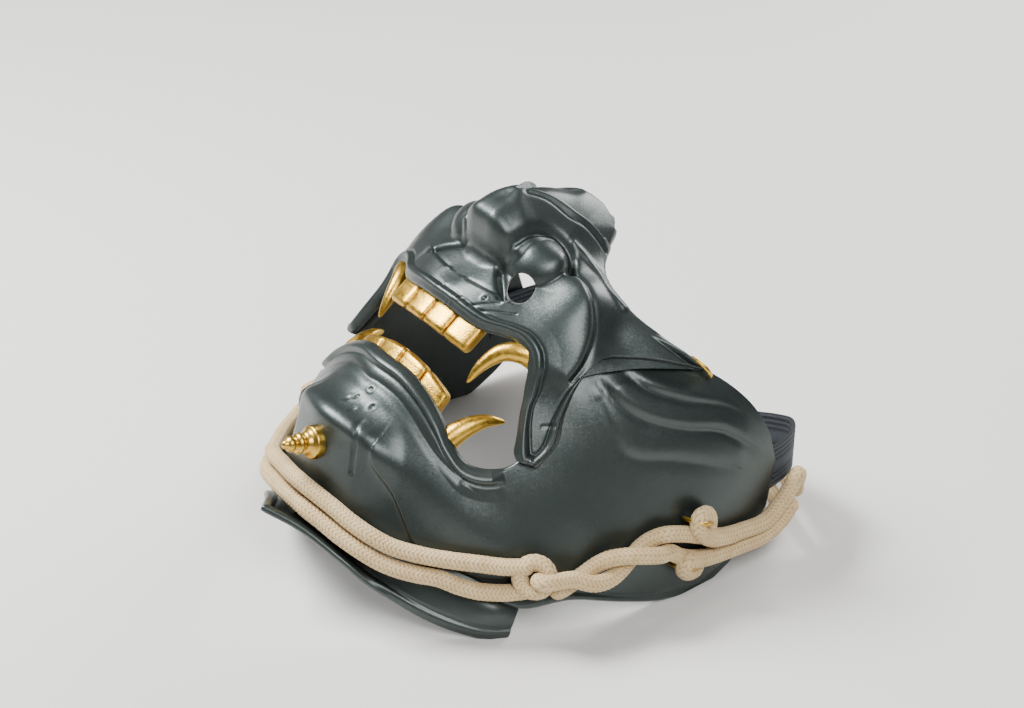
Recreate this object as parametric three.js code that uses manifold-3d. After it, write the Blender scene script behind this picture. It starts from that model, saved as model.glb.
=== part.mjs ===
// Fierce half mask of a samurai armour, lying on its back with its cords tied.
// Two lacquered plates make the face: the jaw with its throat flange, and the nose piece that
// overlaps it and is stapled to it at the cheeks. Gold teeth stand behind both lips.
// Tables use the face's own directions: x to the wearer's left, f forwards and u upwards,
// in millimetres from a point level with the chin between the ears.
import * as THREE from 'three';
import Module from 'manifold-3d';
import { mergeVertices } from 'three/addons/utils/BufferGeometryUtils.js';

const wasm = await Module();
wasm.setup();

// Driving dimensions
const WALL = 3;                 // thickness of both plates
const GAP = 0.3;                // clearance between pieces that touch
const RIM_WIDTH = 3.8;          // rolled rim along both lips and the lobes
const RIM_RISE = 1.1;
const RECLINE = 48;             // degrees that the face leans back from upright as it lies
const SETTLE = [0, 0.753, -20.3]; // where the face's own zero point comes to lie: side, length, height
const CORD = 6;                 // diameter of the braided cord
const CORD_SIDES = 8;
const WIRE = 1.6;               // diameter of the brass wire of staples and rings
const STRAP_WIDTH = 18;
const STRAP_THICK = 1.6;
const TOOTH_DEPTH = 5;
const CORE = { f: 20, u: 66 };  // point inside the head that both plates are measured from
const SQUARENESS = 1.75;        // 2 is an ellipse, less gives a more pointed face

// Plain shape of the jaw plate's outside, level by level
const BODY = [
  { u: -25, depth: 88, half: 73 },
  { u: -9, depth: 91, half: 76 },
  { u: 5, depth: 96, half: 78 },
  { u: 17, depth: 102, half: 80 },
  { u: 28, depth: 101, half: 81 },
  { u: 40, depth: 100, half: 82 },
  { u: 52, depth: 98, half: 82 },
  { u: 64, depth: 97, half: 82 },
  { u: 76, depth: 97.5, half: 82 },
  { u: 90, depth: 94, half: 81 },
  { u: 100, depth: 87, half: 80 },
  { u: 110, depth: 77, half: 79 },
  { u: 120, depth: 66, half: 76 },
  { u: 140, depth: 42, half: 68 },
];
const BACK_DEPTH = 140;         // the cheeks close in towards the back as if this deep

// Nose and bridge along the middle: ridge line, flat half width, side slope and its rounding
const NOSE = [
  { f: 92, u: 88.5, flat: 3, slope: 1.3, round: 3 },
  { f: 94, u: 91.4, flat: 3.5, slope: 1.4, round: 4 },
  { f: 97.1, u: 96.3, flat: 4, slope: 1.5, round: 5 },
  { f: 100.8, u: 99.5, flat: 4, slope: 1.5, round: 6 },
  { f: 104.8, u: 103.8, flat: 4, slope: 1.5, round: 6 },
  { f: 106.2, u: 107, flat: 3.8, slope: 1.45, round: 7 },
  { f: 105.2, u: 110.8, flat: 3.2, slope: 1.35, round: 7 },
  { f: 102.3, u: 115.2, flat: 2.2, slope: 1.3, round: 8 },
  { f: 97.3, u: 120, flat: 1.2, slope: 1.3, round: 8 },
  { f: 90, u: 127, flat: 0.6, slope: 1.25, round: 8 },
  { f: 81, u: 132, flat: 0.5, slope: 1.3, round: 10 },
  { f: 68, u: 136, flat: 0.5, slope: 1.4, round: 12 },
  { f: 50, u: 138, flat: 0.5, slope: 1.43, round: 12 },
];
const NOSTRIL = { radius: 5, way: [[28, 96, 90.5], [22.6, 90, 93], [14, 77, 98]] };
const WING = { x: 17, f: 83.4, u: 101.9, radius: 11.2 };

// Chin: a prow with a sloping front, whose ridge stands at one level
const CHIN = { tip: 109.5, ridge: 17, side: 0.3, under: 0.66, over: 0.85, half: 18, fade: 16 };

// Plate outlines on the left half, one row for each pair of facing edge points
const JAW_ROWS = [
  { bx: 0, bf: 91.5, bu: -14, tx: 0, tf: 99, tu: 45 },
  { bx: 13, bf: 90, bu: -14, tx: 12, tf: 97.4, tu: 45 },
  { bx: 26, bf: 85, bu: -13.5, tx: 22, tf: 93.8, tu: 42.8 },
  { bx: 39, bf: 77, bu: -11.5, tx: 31, tf: 89.2, tu: 38.7 },
  { bx: 50, bf: 67.5, bu: -7, tx: 38, tf: 84.5, tu: 34 },
  { bx: 60, bf: 55, bu: -1.5, tx: 45, tf: 78.5, tu: 31.6 },
  { bx: 68.5, bf: 38, bu: 4.5, tx: 51, tf: 72.3, tu: 36 },
  { bx: 75, bf: 28, bu: 17, tx: 54, tf: 69, tu: 45 },
  { bx: 79.5, bf: 10, bu: 28.5, tx: 51, tf: 74, tu: 66 },
  { bx: 81.5, bf: -6, bu: 38.5, tx: 53, tf: 66, tu: 94 },
  { bx: 80.5, bf: -20, bu: 50, tx: 64.5, tf: 41, tu: 110 },
  { bx: 79.5, bf: -26, bu: 70, tx: 74, tf: 19, tu: 112.8 },
  { bx: 79, bf: -26.5, bu: 84, tx: 79, tf: -11, tu: 103 },
];
const LIP_END = 6.35;           // row where the lower lip's rim runs under the nose piece
const NOSE_ROWS = [
  { ix: 0, if: 100.8, iu: 74, ox: 0, of: 54, ou: 140.5 },
  { ix: 9, if: 99.6, iu: 74, ox: 13, of: 62, ou: 134.5 },
  { ix: 17, if: 97, iu: 73.7, ox: 20, of: 65, ou: 125 },
  { ix: 24, if: 94.4, iu: 74.3, ox: 25.4, of: 67, ou: 118.6 },
  { ix: 31, if: 90.6, iu: 77.2, ox: 34, of: 67, ou: 112.5 },
  { ix: 36, if: 87.2, iu: 78.3, ox: 44, of: 63, ou: 110.8 },
  { ix: 41, if: 83.6, iu: 76.3, ox: 55.7, of: 53, ou: 110.6 },
  { ix: 43.8, if: 81.4, iu: 72.5, ox: 68.5, of: 38, ou: 110.8 },
];
const LOBE_ROWS = [
  { ix: 43.8, if: 81.4, iu: 72.5, ox: 68.5, of: 38, ou: 110.8 },
  { ix: 45.2, if: 79.9, iu: 68.2, ox: 64.7, of: 45.7, ou: 107 },
  { ix: 47, if: 78.3, iu: 63.5, ox: 58.2, of: 58.4, ou: 99.7 },
  { ix: 48.4, if: 77.1, iu: 59, ox: 54.4, of: 66.5, ou: 93 },
  { ix: 50.3, if: 75.5, iu: 54.5, ox: 54.5, of: 70.6, ou: 80 },
  { ix: 52.2, if: 74, iu: 50.5, ox: 56.3, of: 69, ou: 67 },
  { ix: 54, if: 72.5, iu: 47, ox: 59.1, of: 65.7, ou: 56 },
  { ix: 56, if: 70.5, iu: 44.6, ox: 58.9, of: 67.1, ou: 46.1 },
];

// Swells and hollows: where, how wide and how high
const JAW_SWELLS = [
  { x: 37, f: 84, u: 9, radius: 15, height: -3 },
  { x: 60, f: 62, u: 62, radius: 20, height: 1.5 },
  { x: 78, f: 0, u: 62, radius: 24, height: 1.5 },
];
const NOSE_SWELLS = [
  { x: 44, f: 80, u: 90, radius: 13, height: 3 },
  { x: 0, f: 95, u: 88, radius: 10, height: -2.5 },
  { x: 37, f: 76, u: 104, radius: 12, height: 5.5 },
  { x: 49, f: 64, u: 98, radius: 9, height: -2.5 },
];

const FOLD_PEAK = 1.4;          // makes up for the height a fold loses between its two fades

// Sharp folds: the surface steps up on one side of a line and dies away beyond it
const JAW_FOLDS = [
  { step: 1.8, fade: 8, width: 4.5, groove: 0.4, side: -1,
    line: [[56.5, 60, 92], [63, 51, 92], [69, 38.5, 97], [74, 25, 105], [76.5, 16.5, 108]] },
  { step: 2, fade: 10, width: 4.5, groove: 0.4, side: -1,
    line: [[54.5, 65, 84], [62.5, 55, 81.5], [69, 44, 84], [73.5, 32, 90], [76.5, 21, 97], [79, 7, 100],
      [79.5, -8, 102]] },
  { step: -2.2, fade: 14, width: 4, groove: 0, side: -1,
    line: [[20, 103, 16.3], [24.5, 100, 18.7], [28, 95, 22.5], [33, 93, 22], [37, 90, 19], [42, 84, 12]] },
];
const NOSE_FOLDS = [
  { step: 2, fade: 13, width: 4, groove: 0.5, side: 1,
    line: [[0, 99, 120], [6, 92, 123], [13, 82, 124], [19, 73, 123], [24, 67, 119]] },
  { step: 2, fade: 12, width: 4, groove: 0.4, side: 1,
    line: [[0, 82, 131], [6, 75, 133], [11, 68, 132.5], [15, 61, 131]] },
  { step: 1.8, fade: 8, width: 4, groove: 0.4, side: 1,
    line: [[26, 81, 108.3], [31, 76, 107], [36, 73.7, 105], [43.5, 72.6, 99.7], [49, 72.6, 92], [52, 72, 84],
      [53, 72.4, 78]] },
];
const LIP_BAND = 9.5;           // width of the band in which both lips curl out to their rims
const JAW_CURL = 1.8;           // how far the lower lip curls out
const NOSE_CURL = 0.8;          // how far the upper lip curls out

// Throat flange: root behind the chin, bend under its edge, and outer edge
const FLANGE_THICK = 2.6;
const FLANGE_ROWS = [
  { rx: 0, rf: 87, ru: -9, bx: 0, bf: 88, bu: -19.2, ex: 0, ef: 101, eu: -22.5 },
  { rx: 11, rf: 85.5, ru: -9, bx: 8.8, bf: 83.7, bu: -18.9, ex: 11, ef: 91.9, eu: -20 },
  { rx: 23.5, rf: 80.5, ru: -8.5, bx: 20.4, bf: 77.3, bu: -18.2, ex: 25.6, ef: 80.5, eu: -19.8 },
  { rx: 35.5, rf: 73, ru: -6.5, bx: 32.7, bf: 68.6, bu: -17.2, ex: 36, ef: 68.5, eu: -20.7 },
  { rx: 46, rf: 63, ru: -2.5, bx: 45.8, bf: 61.2, bu: -11.5, ex: 47.5, ef: 57.5, eu: -19.6 },
  { rx: 56, rf: 50.5, ru: 2.5, bx: 57.9, bf: 50.9, bu: -4.9, ex: 57.5, ef: 47.5, eu: -16.2 },
  { rx: 61.5, rf: 42.5, ru: 5.5, bx: 65, bf: 44, bu: -1.5, ex: 65, ef: 39, eu: -11.4 },
  { rx: 64.5, rf: 36, ru: 8, bx: 68, bf: 36.5, bu: 1, ex: 68.5, ef: 33.5, eu: -6.5 },
];

// Teeth: front and levels in the middle of the row, and how they fall away to the sides
const TOOTH_GROOVE = 0.7;
const TEETH = {
  upper_teeth: { count: 4, width: 11.8, front: 97, curve: 0.0062, drop: 0.0005,
    high: 70.5, low: 63, lean: 1, root: 5 },
  lower_teeth: { count: 4, width: 13, front: 94, curve: 0.007, drop: 0.0065,
    high: 52, low: 46.5, lean: 0.3, root: -4 },
};
const FANGS = {
  upper_fang: { radius: 4.3,
    way: [[41, 79, 76], [37.5, 84, 75], [33, 87.5, 71], [30, 88.8, 63.5], [28.5, 88, 55]] },
  lower_fang: { radius: 3.8, way: [[33, 83.5, 33], [35, 82, 41], [37, 78, 48], [39.5, 72, 52.5]] },
};
const PEG_LEVEL = 5.5;
const PEG = [
  { radius: 0, along: -1.6 },
  { radius: 5.7, along: -1.6 },
  { radius: 6.1, along: 0.9 },
  { radius: 5.9, along: 2 },
  { radius: 4.6, along: 3 },
  { radius: 3.6, along: 4.6 },
  { radius: 2.6, along: 5.2 },
  { radius: 3.9, along: 6.8 },
  { radius: 2.2, along: 8.6 },
  { radius: 2.9, along: 10 },
  { radius: 1.9, along: 11.8 },
  { radius: 0, along: 13.8 },
];
// Wire arches: the staples that join the plates, and the loops that hold the cords
const ARCH_SQUARE = 0.7;        // 1 bends the wire to half an ellipse, less makes it squarer
const WIRES = {
  cheek_staple: { from: [64.5, 43.5, 111], to: [70, 35.5, 110], rise: 2.6, lean: [0.9, 0.3, 0.25] },
  cord_loop_upper: { from: [83, 14.8, 65], to: [83.6, 1.9, 70.6], rise: 10, lean: [0.85, 0.53, 0] },
  cord_loop_lower: { from: [82.6, 5.1, 49.2], to: [83.2, -7.2, 54.9], rise: 9.6, lean: [0.85, 0.53, 0] },
};

// Cords, left half: two strands round the chin between the knots, and two round the back
const CHIN_UPPER = [
  [73, 50.5, 18.8], [66, 55.1, 12.5], [60.9, 60.6, 8], [55.5, 65.7, 3.5],
  [49.7, 70.9, -0.8], [44.1, 75.2, -4.1],
  [39.2, 79.1, -6.4], [32.6, 84.7, -7.8], [25.3, 88.4, -8.3], [17.8, 91.8, -8.2], [10.4, 94.7, -8.3],
  [3.5, 96.9, -8.4],
];
const CHIN_LOWER = [
  [73.2, 44.4, 12], [67.3, 48.2, 5.3], [62.8, 54, 0.3], [58.5, 59.2, -2.6],
  [53.6, 64.6, -4.8], [48.7, 69, -8.2],
  [43.3, 73.2, -11.2], [37.6, 77.6, -13.2], [31, 82.6, -14.2], [23.7, 86.5, -14.7], [15.9, 89.9, -14.7],
  [9.3, 92.5, -14.9],
];
const TWIST = {
  turns: 1, steps: 12, radius: 3.45, out: [0.93, 0.35, 0.1],
  way: [[76.6, 42.3, 17.6], [79.2, 37.8, 22.3], [81.4, 32.7, 28.4], [83.1, 29.5, 35.4], [84.6, 25.9, 42.5],
    [85.7, 21.4, 49.4], [86.6, 17.3, 54.3]],
};
const BACK_UPPER = [
  [86.3, 11.9, 61], [86.2, 4.6, 64], [86.2, -5, 69], [85.5, -13.5, 75.5], [85, -21.2, 83.5],
  [83.9, -23, 94], [82, -23.4, 104.6],
];
const BACK_LOWER = [
  [86.3, 7.5, 53.4], [86.6, 1, 56], [86.4, -8, 62], [85.8, -17, 70], [84.8, -26, 79],
  [83.8, -29.8, 87], [82.6, -30.8, 94],
];
// The rest of the way as it lies: side, length and height over the ground
const HIDDEN_UPPER = [
  [77.5, 98, 24.5], [70, 105, 15.5], [57, 112.8, 10.5], [41, 119.8, 5.5], [20, 124.5, 3.2], [0, 126, 3.2],
];
const HIDDEN_LOWER = [
  [76, 95.5, 12.5], [68, 101, 7.5], [56, 107.5, 4], [38, 113.5, 3.2], [19, 117, 3.2], [0, 118.3, 3.2],
];
const STRAP_WAY = [
  [75.6, 65.8, 34], [75.7, 77.8, 34], [75, 88.8, 34.5], [71.5, 98.8, 34.5],
  [64, 106.8, 32.5], [51, 111.8, 26.5],
  [34, 112.8, 19.5], [15, 112.3, 12.5], [0, 111.8, 9.8],
];
const KNOTS = {
  knot: { at: [73.6, 47.6, 15.9], half: [6.4, 9, 7], out: [0.75, 0.62, -0.15], across: [-0.05, 0.67, 0.74] },
  hitch_upper: { at: [86, 8.4, 68.4], half: [5.4, 5.4, 5.4], out: [1, 0, 0], across: [0, 0.7, 0.7] },
  hitch_lower: { at: [86.4, -1.6, 52.8], half: [5, 6, 5], out: [1, 0, 0], across: [0, 1, 0.2] },
};

// Directions of the face as points of space
function place(x, f, u) {
  return new THREE.Vector3(x, -f, u);
}

function mirrored(points, sign) {
  return points.map((p) => place(sign * p[0], p[1], p[2]));
}

// Smooth curve through the values of one column of a table
function column(rows, key, name) {
  const xs = rows.map((row) => row[key]);
  const ys = rows.map((row) => row[name]);
  return (x) => {
    let i = 0;
    while (i < xs.length - 2 && x > xs[i + 1]) i += 1;
    const h = xs[i + 1] - xs[i];
    const t = THREE.MathUtils.clamp((x - xs[i]) / h, 0, 1);
    const rise = (a, b) => (ys[b] - ys[a]) / (xs[b] - xs[a]);
    const m0 = i > 0 ? rise(i - 1, i + 1) : rise(i, i + 1);
    const m1 = i < xs.length - 2 ? rise(i, i + 2) : rise(i, i + 1);
    const t2 = t * t;
    const t3 = t2 * t;
    const start = (2 * t3 - 3 * t2 + 1) * ys[i] + (t3 - 2 * t2 + t) * h * m0;
    return start + (3 * t2 - 2 * t3) * ys[i + 1] + (t3 - t2) * h * m1;
  };
}

const depthAt = column(BODY, 'u', 'depth');
const halfAt = column(BODY, 'u', 'half');
const noseAngles = NOSE.map((row) => ({
  ...row,
  angle: Math.atan2(row.u - CORE.u, row.f - CORE.f),
  reach: Math.hypot(row.u - CORE.u, row.f - CORE.f),
}));
const ridgeReach = column(noseAngles, 'angle', 'reach');
const ridgeFlat = column(noseAngles, 'angle', 'flat');
const ridgeSlope = column(noseAngles, 'angle', 'slope');
const ridgeRound = column(noseAngles, 'angle', 'round');

// Height above the barrel of the face, about in millimetres; grow makes it larger all round
function barrel(x, f, u, grow) {
  const depth = (f > 0 ? depthAt(u) : BACK_DEPTH) + grow;
  const half = halfAt(u) + grow;
  const sum = (Math.abs(x) / half) ** SQUARENESS + (Math.abs(f) / depth) ** SQUARENESS;
  return (sum ** (1 / SQUARENESS) - 1) * 85;
}

// Height above the prow of the chin: lower of the sloping front and the sloping top
function prow(x, f, u) {
  const away = CHIN.side * Math.sqrt(x * x + 4) + Math.max(0, Math.abs(x) - CHIN.half) ** 2 / CHIN.fade;
  const front = f - (CHIN.tip - away + CHIN.under * (u - CHIN.ridge));
  const top = f - (CHIN.tip - away - CHIN.over * (u - CHIN.ridge));
  return Math.max(front, top) * 0.8;
}

// Height above the nose: distance beyond its ridge line plus the fall to the side
function nose(x, f, u) {
  const angle = Math.atan2(u - CORE.u, f - CORE.f);
  const reach = Math.hypot(u - CORE.u, f - CORE.f);
  const side = Math.max(0, Math.abs(x) - ridgeFlat(angle));
  const round = ridgeRound(angle);
  const fall = ridgeSlope(angle) * (Math.hypot(side, round) - round);
  const below = Math.max(0, noseAngles[0].angle - angle) * 60;
  return reach - ridgeReach(angle) + fall + below;
}

function wing(x, f, u) {
  return Math.hypot(Math.abs(x) - WING.x, f - WING.f, u - WING.u) - WING.radius;
}

// Lower of two heights, blended over a width k
function blend(a, b, k) {
  const h = THREE.MathUtils.clamp(0.5 + (0.5 * (b - a)) / k, 0, 1);
  return b + (a - b) * h - k * h * (1 - h);
}

const jawHeight = (x, f, u) => blend(barrel(x, f, u, 0), prow(x, f, u), 3);
const lipHeight = (x, f, u) => blend(barrel(x, f, u, WALL + GAP), nose(x, f, u), 5);
const noseHeight = (x, f, u) => blend(lipHeight(x, f, u), wing(x, f, u), 0.8);

// Distance from the core to where a height function crosses zero along a direction
function reachOf(height, direction) {
  let near = 25;
  let far = 170;
  for (let i = 0; i < 26; i += 1) {
    const middle = (near + far) / 2;
    const [x, f, u] = [0, 1, 2].map((k) => direction[k] * middle + [0, CORE.f, CORE.u][k]);
    if (height(x, f, u) < 0) near = middle;
    else far = middle;
  }
  return (near + far) / 2;
}

// Nearest point of a line of points: distance, signed side and how far past an end
function nearest(line, p, outward) {
  let best = { distance: Infinity };
  for (let i = 0; i < line.length - 1; i += 1) {
    const a = line[i];
    const along = line[i + 1].clone().sub(a);
    const length = along.length();
    const t = p.clone().sub(a).dot(along) / (length * length);
    const clamped = THREE.MathUtils.clamp(t, 0, 1);
    const off = p.clone().sub(a).addScaledVector(along, -clamped);
    const distance = off.length();
    if (distance < best.distance) {
      const side = Math.sign(along.clone().cross(off).dot(outward)) || 1;
      const beyond = (i === 0 && t < 0) || (i === line.length - 2 && t > 1);
      const past = beyond ? Math.abs(t - clamped) * length : 0;
      best = { distance, side, past };
    }
  }
  return best;
}

function smooth(points, count) {
  const curve = new THREE.CatmullRomCurve3(points.map((p) => place(...p)));
  return curve.getPoints(count);
}
const smoothFolds = (folds) => folds.map((fold) => ({ ...fold, line: smooth(fold.line, 14) }));
const jawFolds = smoothFolds(JAW_FOLDS);
const noseFolds = smoothFolds(NOSE_FOLDS);

function swell(p, swells) {
  let height = 0;
  for (const s of swells) {
    const distance = Math.hypot(p.x - s.x, -p.y - s.f, p.z - s.u);
    height += s.height * Math.exp(-((distance / s.radius) ** 2));
  }
  return height;
}

function foldHeight(p, outward, folds) {
  let height = 0;
  for (const fold of folds) {
    const { distance, side, past } = nearest(fold.line, p, outward);
    const end = Math.exp(-((past / 6) ** 2));
    const up = side * fold.side > 0;
    const shape = (1 - Math.exp(-distance / fold.width)) * Math.exp(-distance / fold.fade);
    const rise = up ? FOLD_PEAK * fold.step * shape : 0;
    const cut = fold.groove * Math.exp(-((distance / fold.width) ** 2));
    height += (rise - cut) * end;
  }
  return height;
}

// Point of a plate's outside and inside in the direction of a guide point of the left half
function plate(guide, { height, swells, folds, lip, curl }, grow, rise = 0) {
  const core = place(0, CORE.f, CORE.u);
  const ray = guide.clone().sub(core).normalize();
  const reach = reachOf(height, [ray.x, -ray.y, ray.z]);
  const plain = core.clone().addScaledVector(ray, reach);
  const soft = swell(plain, swells);
  const near = nearest(lip, plain, ray).distance;
  const flare = curl * Math.max(0, 1 - near / LIP_BAND);
  const total = reach + soft + flare + rise + foldHeight(plain, ray, folds);
  return {
    outer: core.clone().addScaledVector(ray, total + grow),
    inner: core.clone().addScaledVector(ray, reach + soft + flare - WALL - grow),
  };
}

// Guide curves through two columns of rows
function guide(rows, names) {
  const curve = new THREE.CatmullRomCurve3(rows.map((row) => place(...names.map((n) => row[n]))));
  return (t) => curve.getPoint(t);
}

// Sheet of guide points: low edge to high edge, mirrored for a negative side
function sheetOf(patches) {
  const low = patches.map((patch) => guide(patch.rows, patch.low));
  const high = patches.map((patch) => guide(patch.rows, patch.high));
  return (s, v) => {
    const t = Math.min(Math.abs(s), 1) * patches.length;
    const k = Math.min(Math.floor(t), patches.length - 1);
    return low[k](t - k).lerp(high[k](t - k), v);
  };
}
const BOTTOM = ['bx', 'bf', 'bu'];
const TOP = ['tx', 'tf', 'tu'];
const INNER = ['ix', 'if', 'iu'];
const OUTER = ['ox', 'of', 'ou'];
const jawSheet = sheetOf([{ rows: JAW_ROWS, low: BOTTOM, high: TOP }]);
const noseSheet = sheetOf([
  { rows: NOSE_ROWS, low: INNER, high: OUTER },
  { rows: LOBE_ROWS, low: INNER, high: OUTER },
]);
const lipPart = LIP_END / (JAW_ROWS.length - 1);
const lowerLip = Array.from({ length: 25 }, (_, i) => jawSheet((lipPart * i) / 24, 1));
const upperLip = Array.from({ length: 25 }, (_, i) => noseSheet((0.62 * i) / 24, 0));

const JAW = { height: jawHeight, swells: JAW_SWELLS, folds: jawFolds, lip: lowerLip, curl: JAW_CURL,
  rims: (s) => [0, s < lipPart ? 1 : 0] };
const FACE = { height: noseHeight, swells: NOSE_SWELLS, folds: noseFolds, lip: upperLip, curl: NOSE_CURL,
  rims: (s) => [1, s > 0.5 ? 1 : 0] };

// Closed mesh of rings of points, capped at both ends by fans or by strips
function closedBody(rings, strips = false) {
  const n = rings[0].length;
  const positions = rings.flat().flatMap((p) => [p.x, p.y, p.z]);
  const faces = [];
  for (let i = 0; i < rings.length - 1; i += 1) {
    for (let j = 0; j < n; j += 1) {
      const a = i * n + j;
      const b = i * n + ((j + 1) % n);
      faces.push(a, b, b + n, a, b + n, a + n);
    }
  }
  [0, (rings.length - 1) * n].forEach((start, end) => {
    const turn = (a, b, c) => (end ? faces.push(a, b, c) : faces.push(a, c, b));
    for (let j = 1; j < (strips ? n / 2 : n - 1); j += 1) {
      if (strips) {
        turn(start + j - 1, start + j, start + n - j);
        turn(start + j, start + n - 1 - j, start + n - j);
      } else turn(start, start + j, start + j + 1);
    }
  });
  const geometry = new THREE.BufferGeometry();
  geometry.setAttribute('position', new THREE.Float32BufferAttribute(positions, 3));
  geometry.setIndex(faces);
  return facingOut(geometry);
}

function volumeOf(geometry) {
  const p = geometry.getAttribute('position');
  const index = geometry.getIndex();
  const [a, b, c] = [new THREE.Vector3(), new THREE.Vector3(), new THREE.Vector3()];
  let sum = 0;
  for (let i = 0; i < index.count; i += 3) {
    [a, b, c].forEach((v, k) => v.fromBufferAttribute(p, index.getX(i + k)));
    sum += a.dot(b.clone().cross(c)) / 6;
  }
  return sum;
}

function facingOut(geometry) {
  if (volumeOf(geometry) < 0) {
    const index = geometry.getIndex().array;
    for (let i = 0; i < index.length; i += 3) [index[i], index[i + 1]] = [index[i + 1], index[i]];
  }
  return geometry;
}

function solidOf(geometry) {
  const bare = geometry.clone();
  ['normal', 'uv'].forEach((name) => bare.deleteAttribute(name));
  const merged = mergeVertices(bare, 1e-4);
  return new wasm.Manifold(new wasm.Mesh({
    numProp: 3,
    vertProperties: new Float32Array(merged.getAttribute('position').array),
    triVerts: new Uint32Array(merged.getIndex().array),
  }));
}

function geometryOf(solid) {
  const mesh = solid.getMesh();
  const geometry = new THREE.BufferGeometry();
  geometry.setAttribute('position', new THREE.Float32BufferAttribute(mesh.vertProperties, 3));
  geometry.setIndex(Array.from(mesh.triVerts));
  return geometry;
}

// Plate as a ring of wall section for each station across the face, with a bead along each rim
function plateBody(sheet, form, grow, across, middle) {
  const rings = [];
  for (let i = 0; i <= across; i += 1) {
    const s = -1 + (2 * i) / across;
    const length = sheet(s, 0).distanceTo(sheet(s, 1));
    const band = Math.min(RIM_WIDTH, 0.3 * length) / length;
    const edge = [0, 0.3, 0.7].map((part) => part * band);
    const between = Array.from({ length: middle + 1 }, (_, j) => band + ((1 - 2 * band) * j) / middle);
    const heights = [...edge, ...between, ...edge.map((part) => 1 - part).reverse()];
    const [low, high] = form.rims(Math.abs(s));
    const bead = (v) => {
      const rim = v < 0.5 ? low * Math.max(0, 1 - v / band) : high * Math.max(0, 1 - (1 - v) / band);
      return RIM_RISE * Math.sin(Math.PI * rim);
    };
    const wider = (v) => v + ((2 * v - 1) * grow) / length;
    const walls = heights.map((v) => plate(sheet(s, wider(v)), form, grow, bead(v)));
    const mirror = (p) => (s < 0 ? new THREE.Vector3(-p.x, p.y, p.z) : p);
    const outer = walls.map((wall) => mirror(wall.outer));
    const inner = walls.map((wall) => mirror(wall.inner)).reverse();
    rings.push([...outer, ...inner]);
  }
  for (const [end, next] of [[0, 1], [across, across - 1]]) {
    rings[end].forEach((p, j) => p.addScaledVector(p.clone().sub(rings[next][j]).normalize(), grow));
  }
  return closedBody(rings, true);
}

// Round bar along points, with its radius given at each part of the way
function bar(points, radiusAt, sides) {
  const curve = new THREE.CatmullRomCurve3(points);
  const frames = curve.computeFrenetFrames(points.length - 1, false);
  return closedBody(points.map((p, i) => {
    const radius = radiusAt(i / (points.length - 1));
    return Array.from({ length: sides }, (_, k) => {
      const turn = (2 * Math.PI * k) / sides;
      return p.clone()
        .addScaledVector(frames.normals[i], radius * Math.cos(turn))
        .addScaledVector(frames.binormals[i], radius * Math.sin(turn));
    });
  }));
}

const finish = {
  lacquer: { color: 0x1d2422, metalness: 0.75, roughness: 0.36 },
  gold: { color: 0xb98a2e, metalness: 1, roughness: 0.34 },
  brass: { color: 0xc9992f, metalness: 1, roughness: 0.28 },
  cord: { color: 0xc9a57c, metalness: 0, roughness: 0.85 },
  elastic: { color: 0x17181a, metalness: 0, roughness: 0.9 },
};
const mask = new THREE.Group();
mask.rotation.x = THREE.MathUtils.degToRad(-RECLINE);
mask.position.set(...SETTLE);
mask.updateMatrixWorld();

function add(name, geometry, look) {
  const mesh = new THREE.Mesh(geometry, new THREE.MeshStandardMaterial(finish[look]));
  mesh.name = name;
  mask.add(mesh);
  return mesh;
}

// Ground under the face as it lies, which gives the lowest edges their small flats
const ground = new THREE.BoxGeometry(400, 400, 60).translate(0, 0, -30);
const below = solidOf(ground.applyMatrix4(mask.matrixWorld.clone().invert()));

// Plates with their rolled rims
const noseRoom = solidOf(plateBody(noseSheet, FACE, GAP, 54, 6));
const jawRoom = solidOf(plateBody(jawSheet, JAW, GAP, 50, 6));
const onPlates = (geometry) => geometryOf(solidOf(geometry).subtract(noseRoom).subtract(jawRoom));
let nosePiece = solidOf(plateBody(noseSheet, FACE, 0, 54, 6));
for (const sign of [1, -1]) {
  nosePiece = nosePiece.subtract(solidOf(bar(mirrored(NOSTRIL.way, sign), () => NOSTRIL.radius, 8)));
}
add('nose_piece', geometryOf(nosePiece), 'lacquer');
const jawShell = solidOf(plateBody(jawSheet, JAW, 0, 50, 6)).subtract(noseRoom).subtract(below);
add('jaw_shell', geometryOf(jawShell), 'lacquer');

// Throat flange: a strip that starts behind the chin, turns under its edge and flares out
function flangeBody() {
  const line = (names) => guide(FLANGE_ROWS, names);
  const lines = [line(['rx', 'rf', 'ru']), line(['bx', 'bf', 'bu']), line(['ex', 'ef', 'eu'])];
  const rings = Array.from({ length: 29 }, (_, i) => {
    const s = -1 + i / 14;
    const [root, bend, edge] = lines.map((at) => at(Math.abs(s)));
    const thick = edge.clone().sub(bend).cross(new THREE.Vector3(1, 0, 0)).setX(0).setLength(-FLANGE_THICK);
    const back = new THREE.Vector3(0, 0.5, 0).setLength(FLANGE_THICK);
    const ring = [root, bend, edge, edge.clone().add(thick), bend.clone().add(thick), root.clone().add(back)];
    return ring.map((p) => (s < 0 ? p.setX(-p.x) : p));
  });
  return closedBody(rings, true);
}
add('throat_flange', geometryOf(solidOf(flangeBody()).subtract(jawRoom).subtract(below)), 'lacquer');

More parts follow.
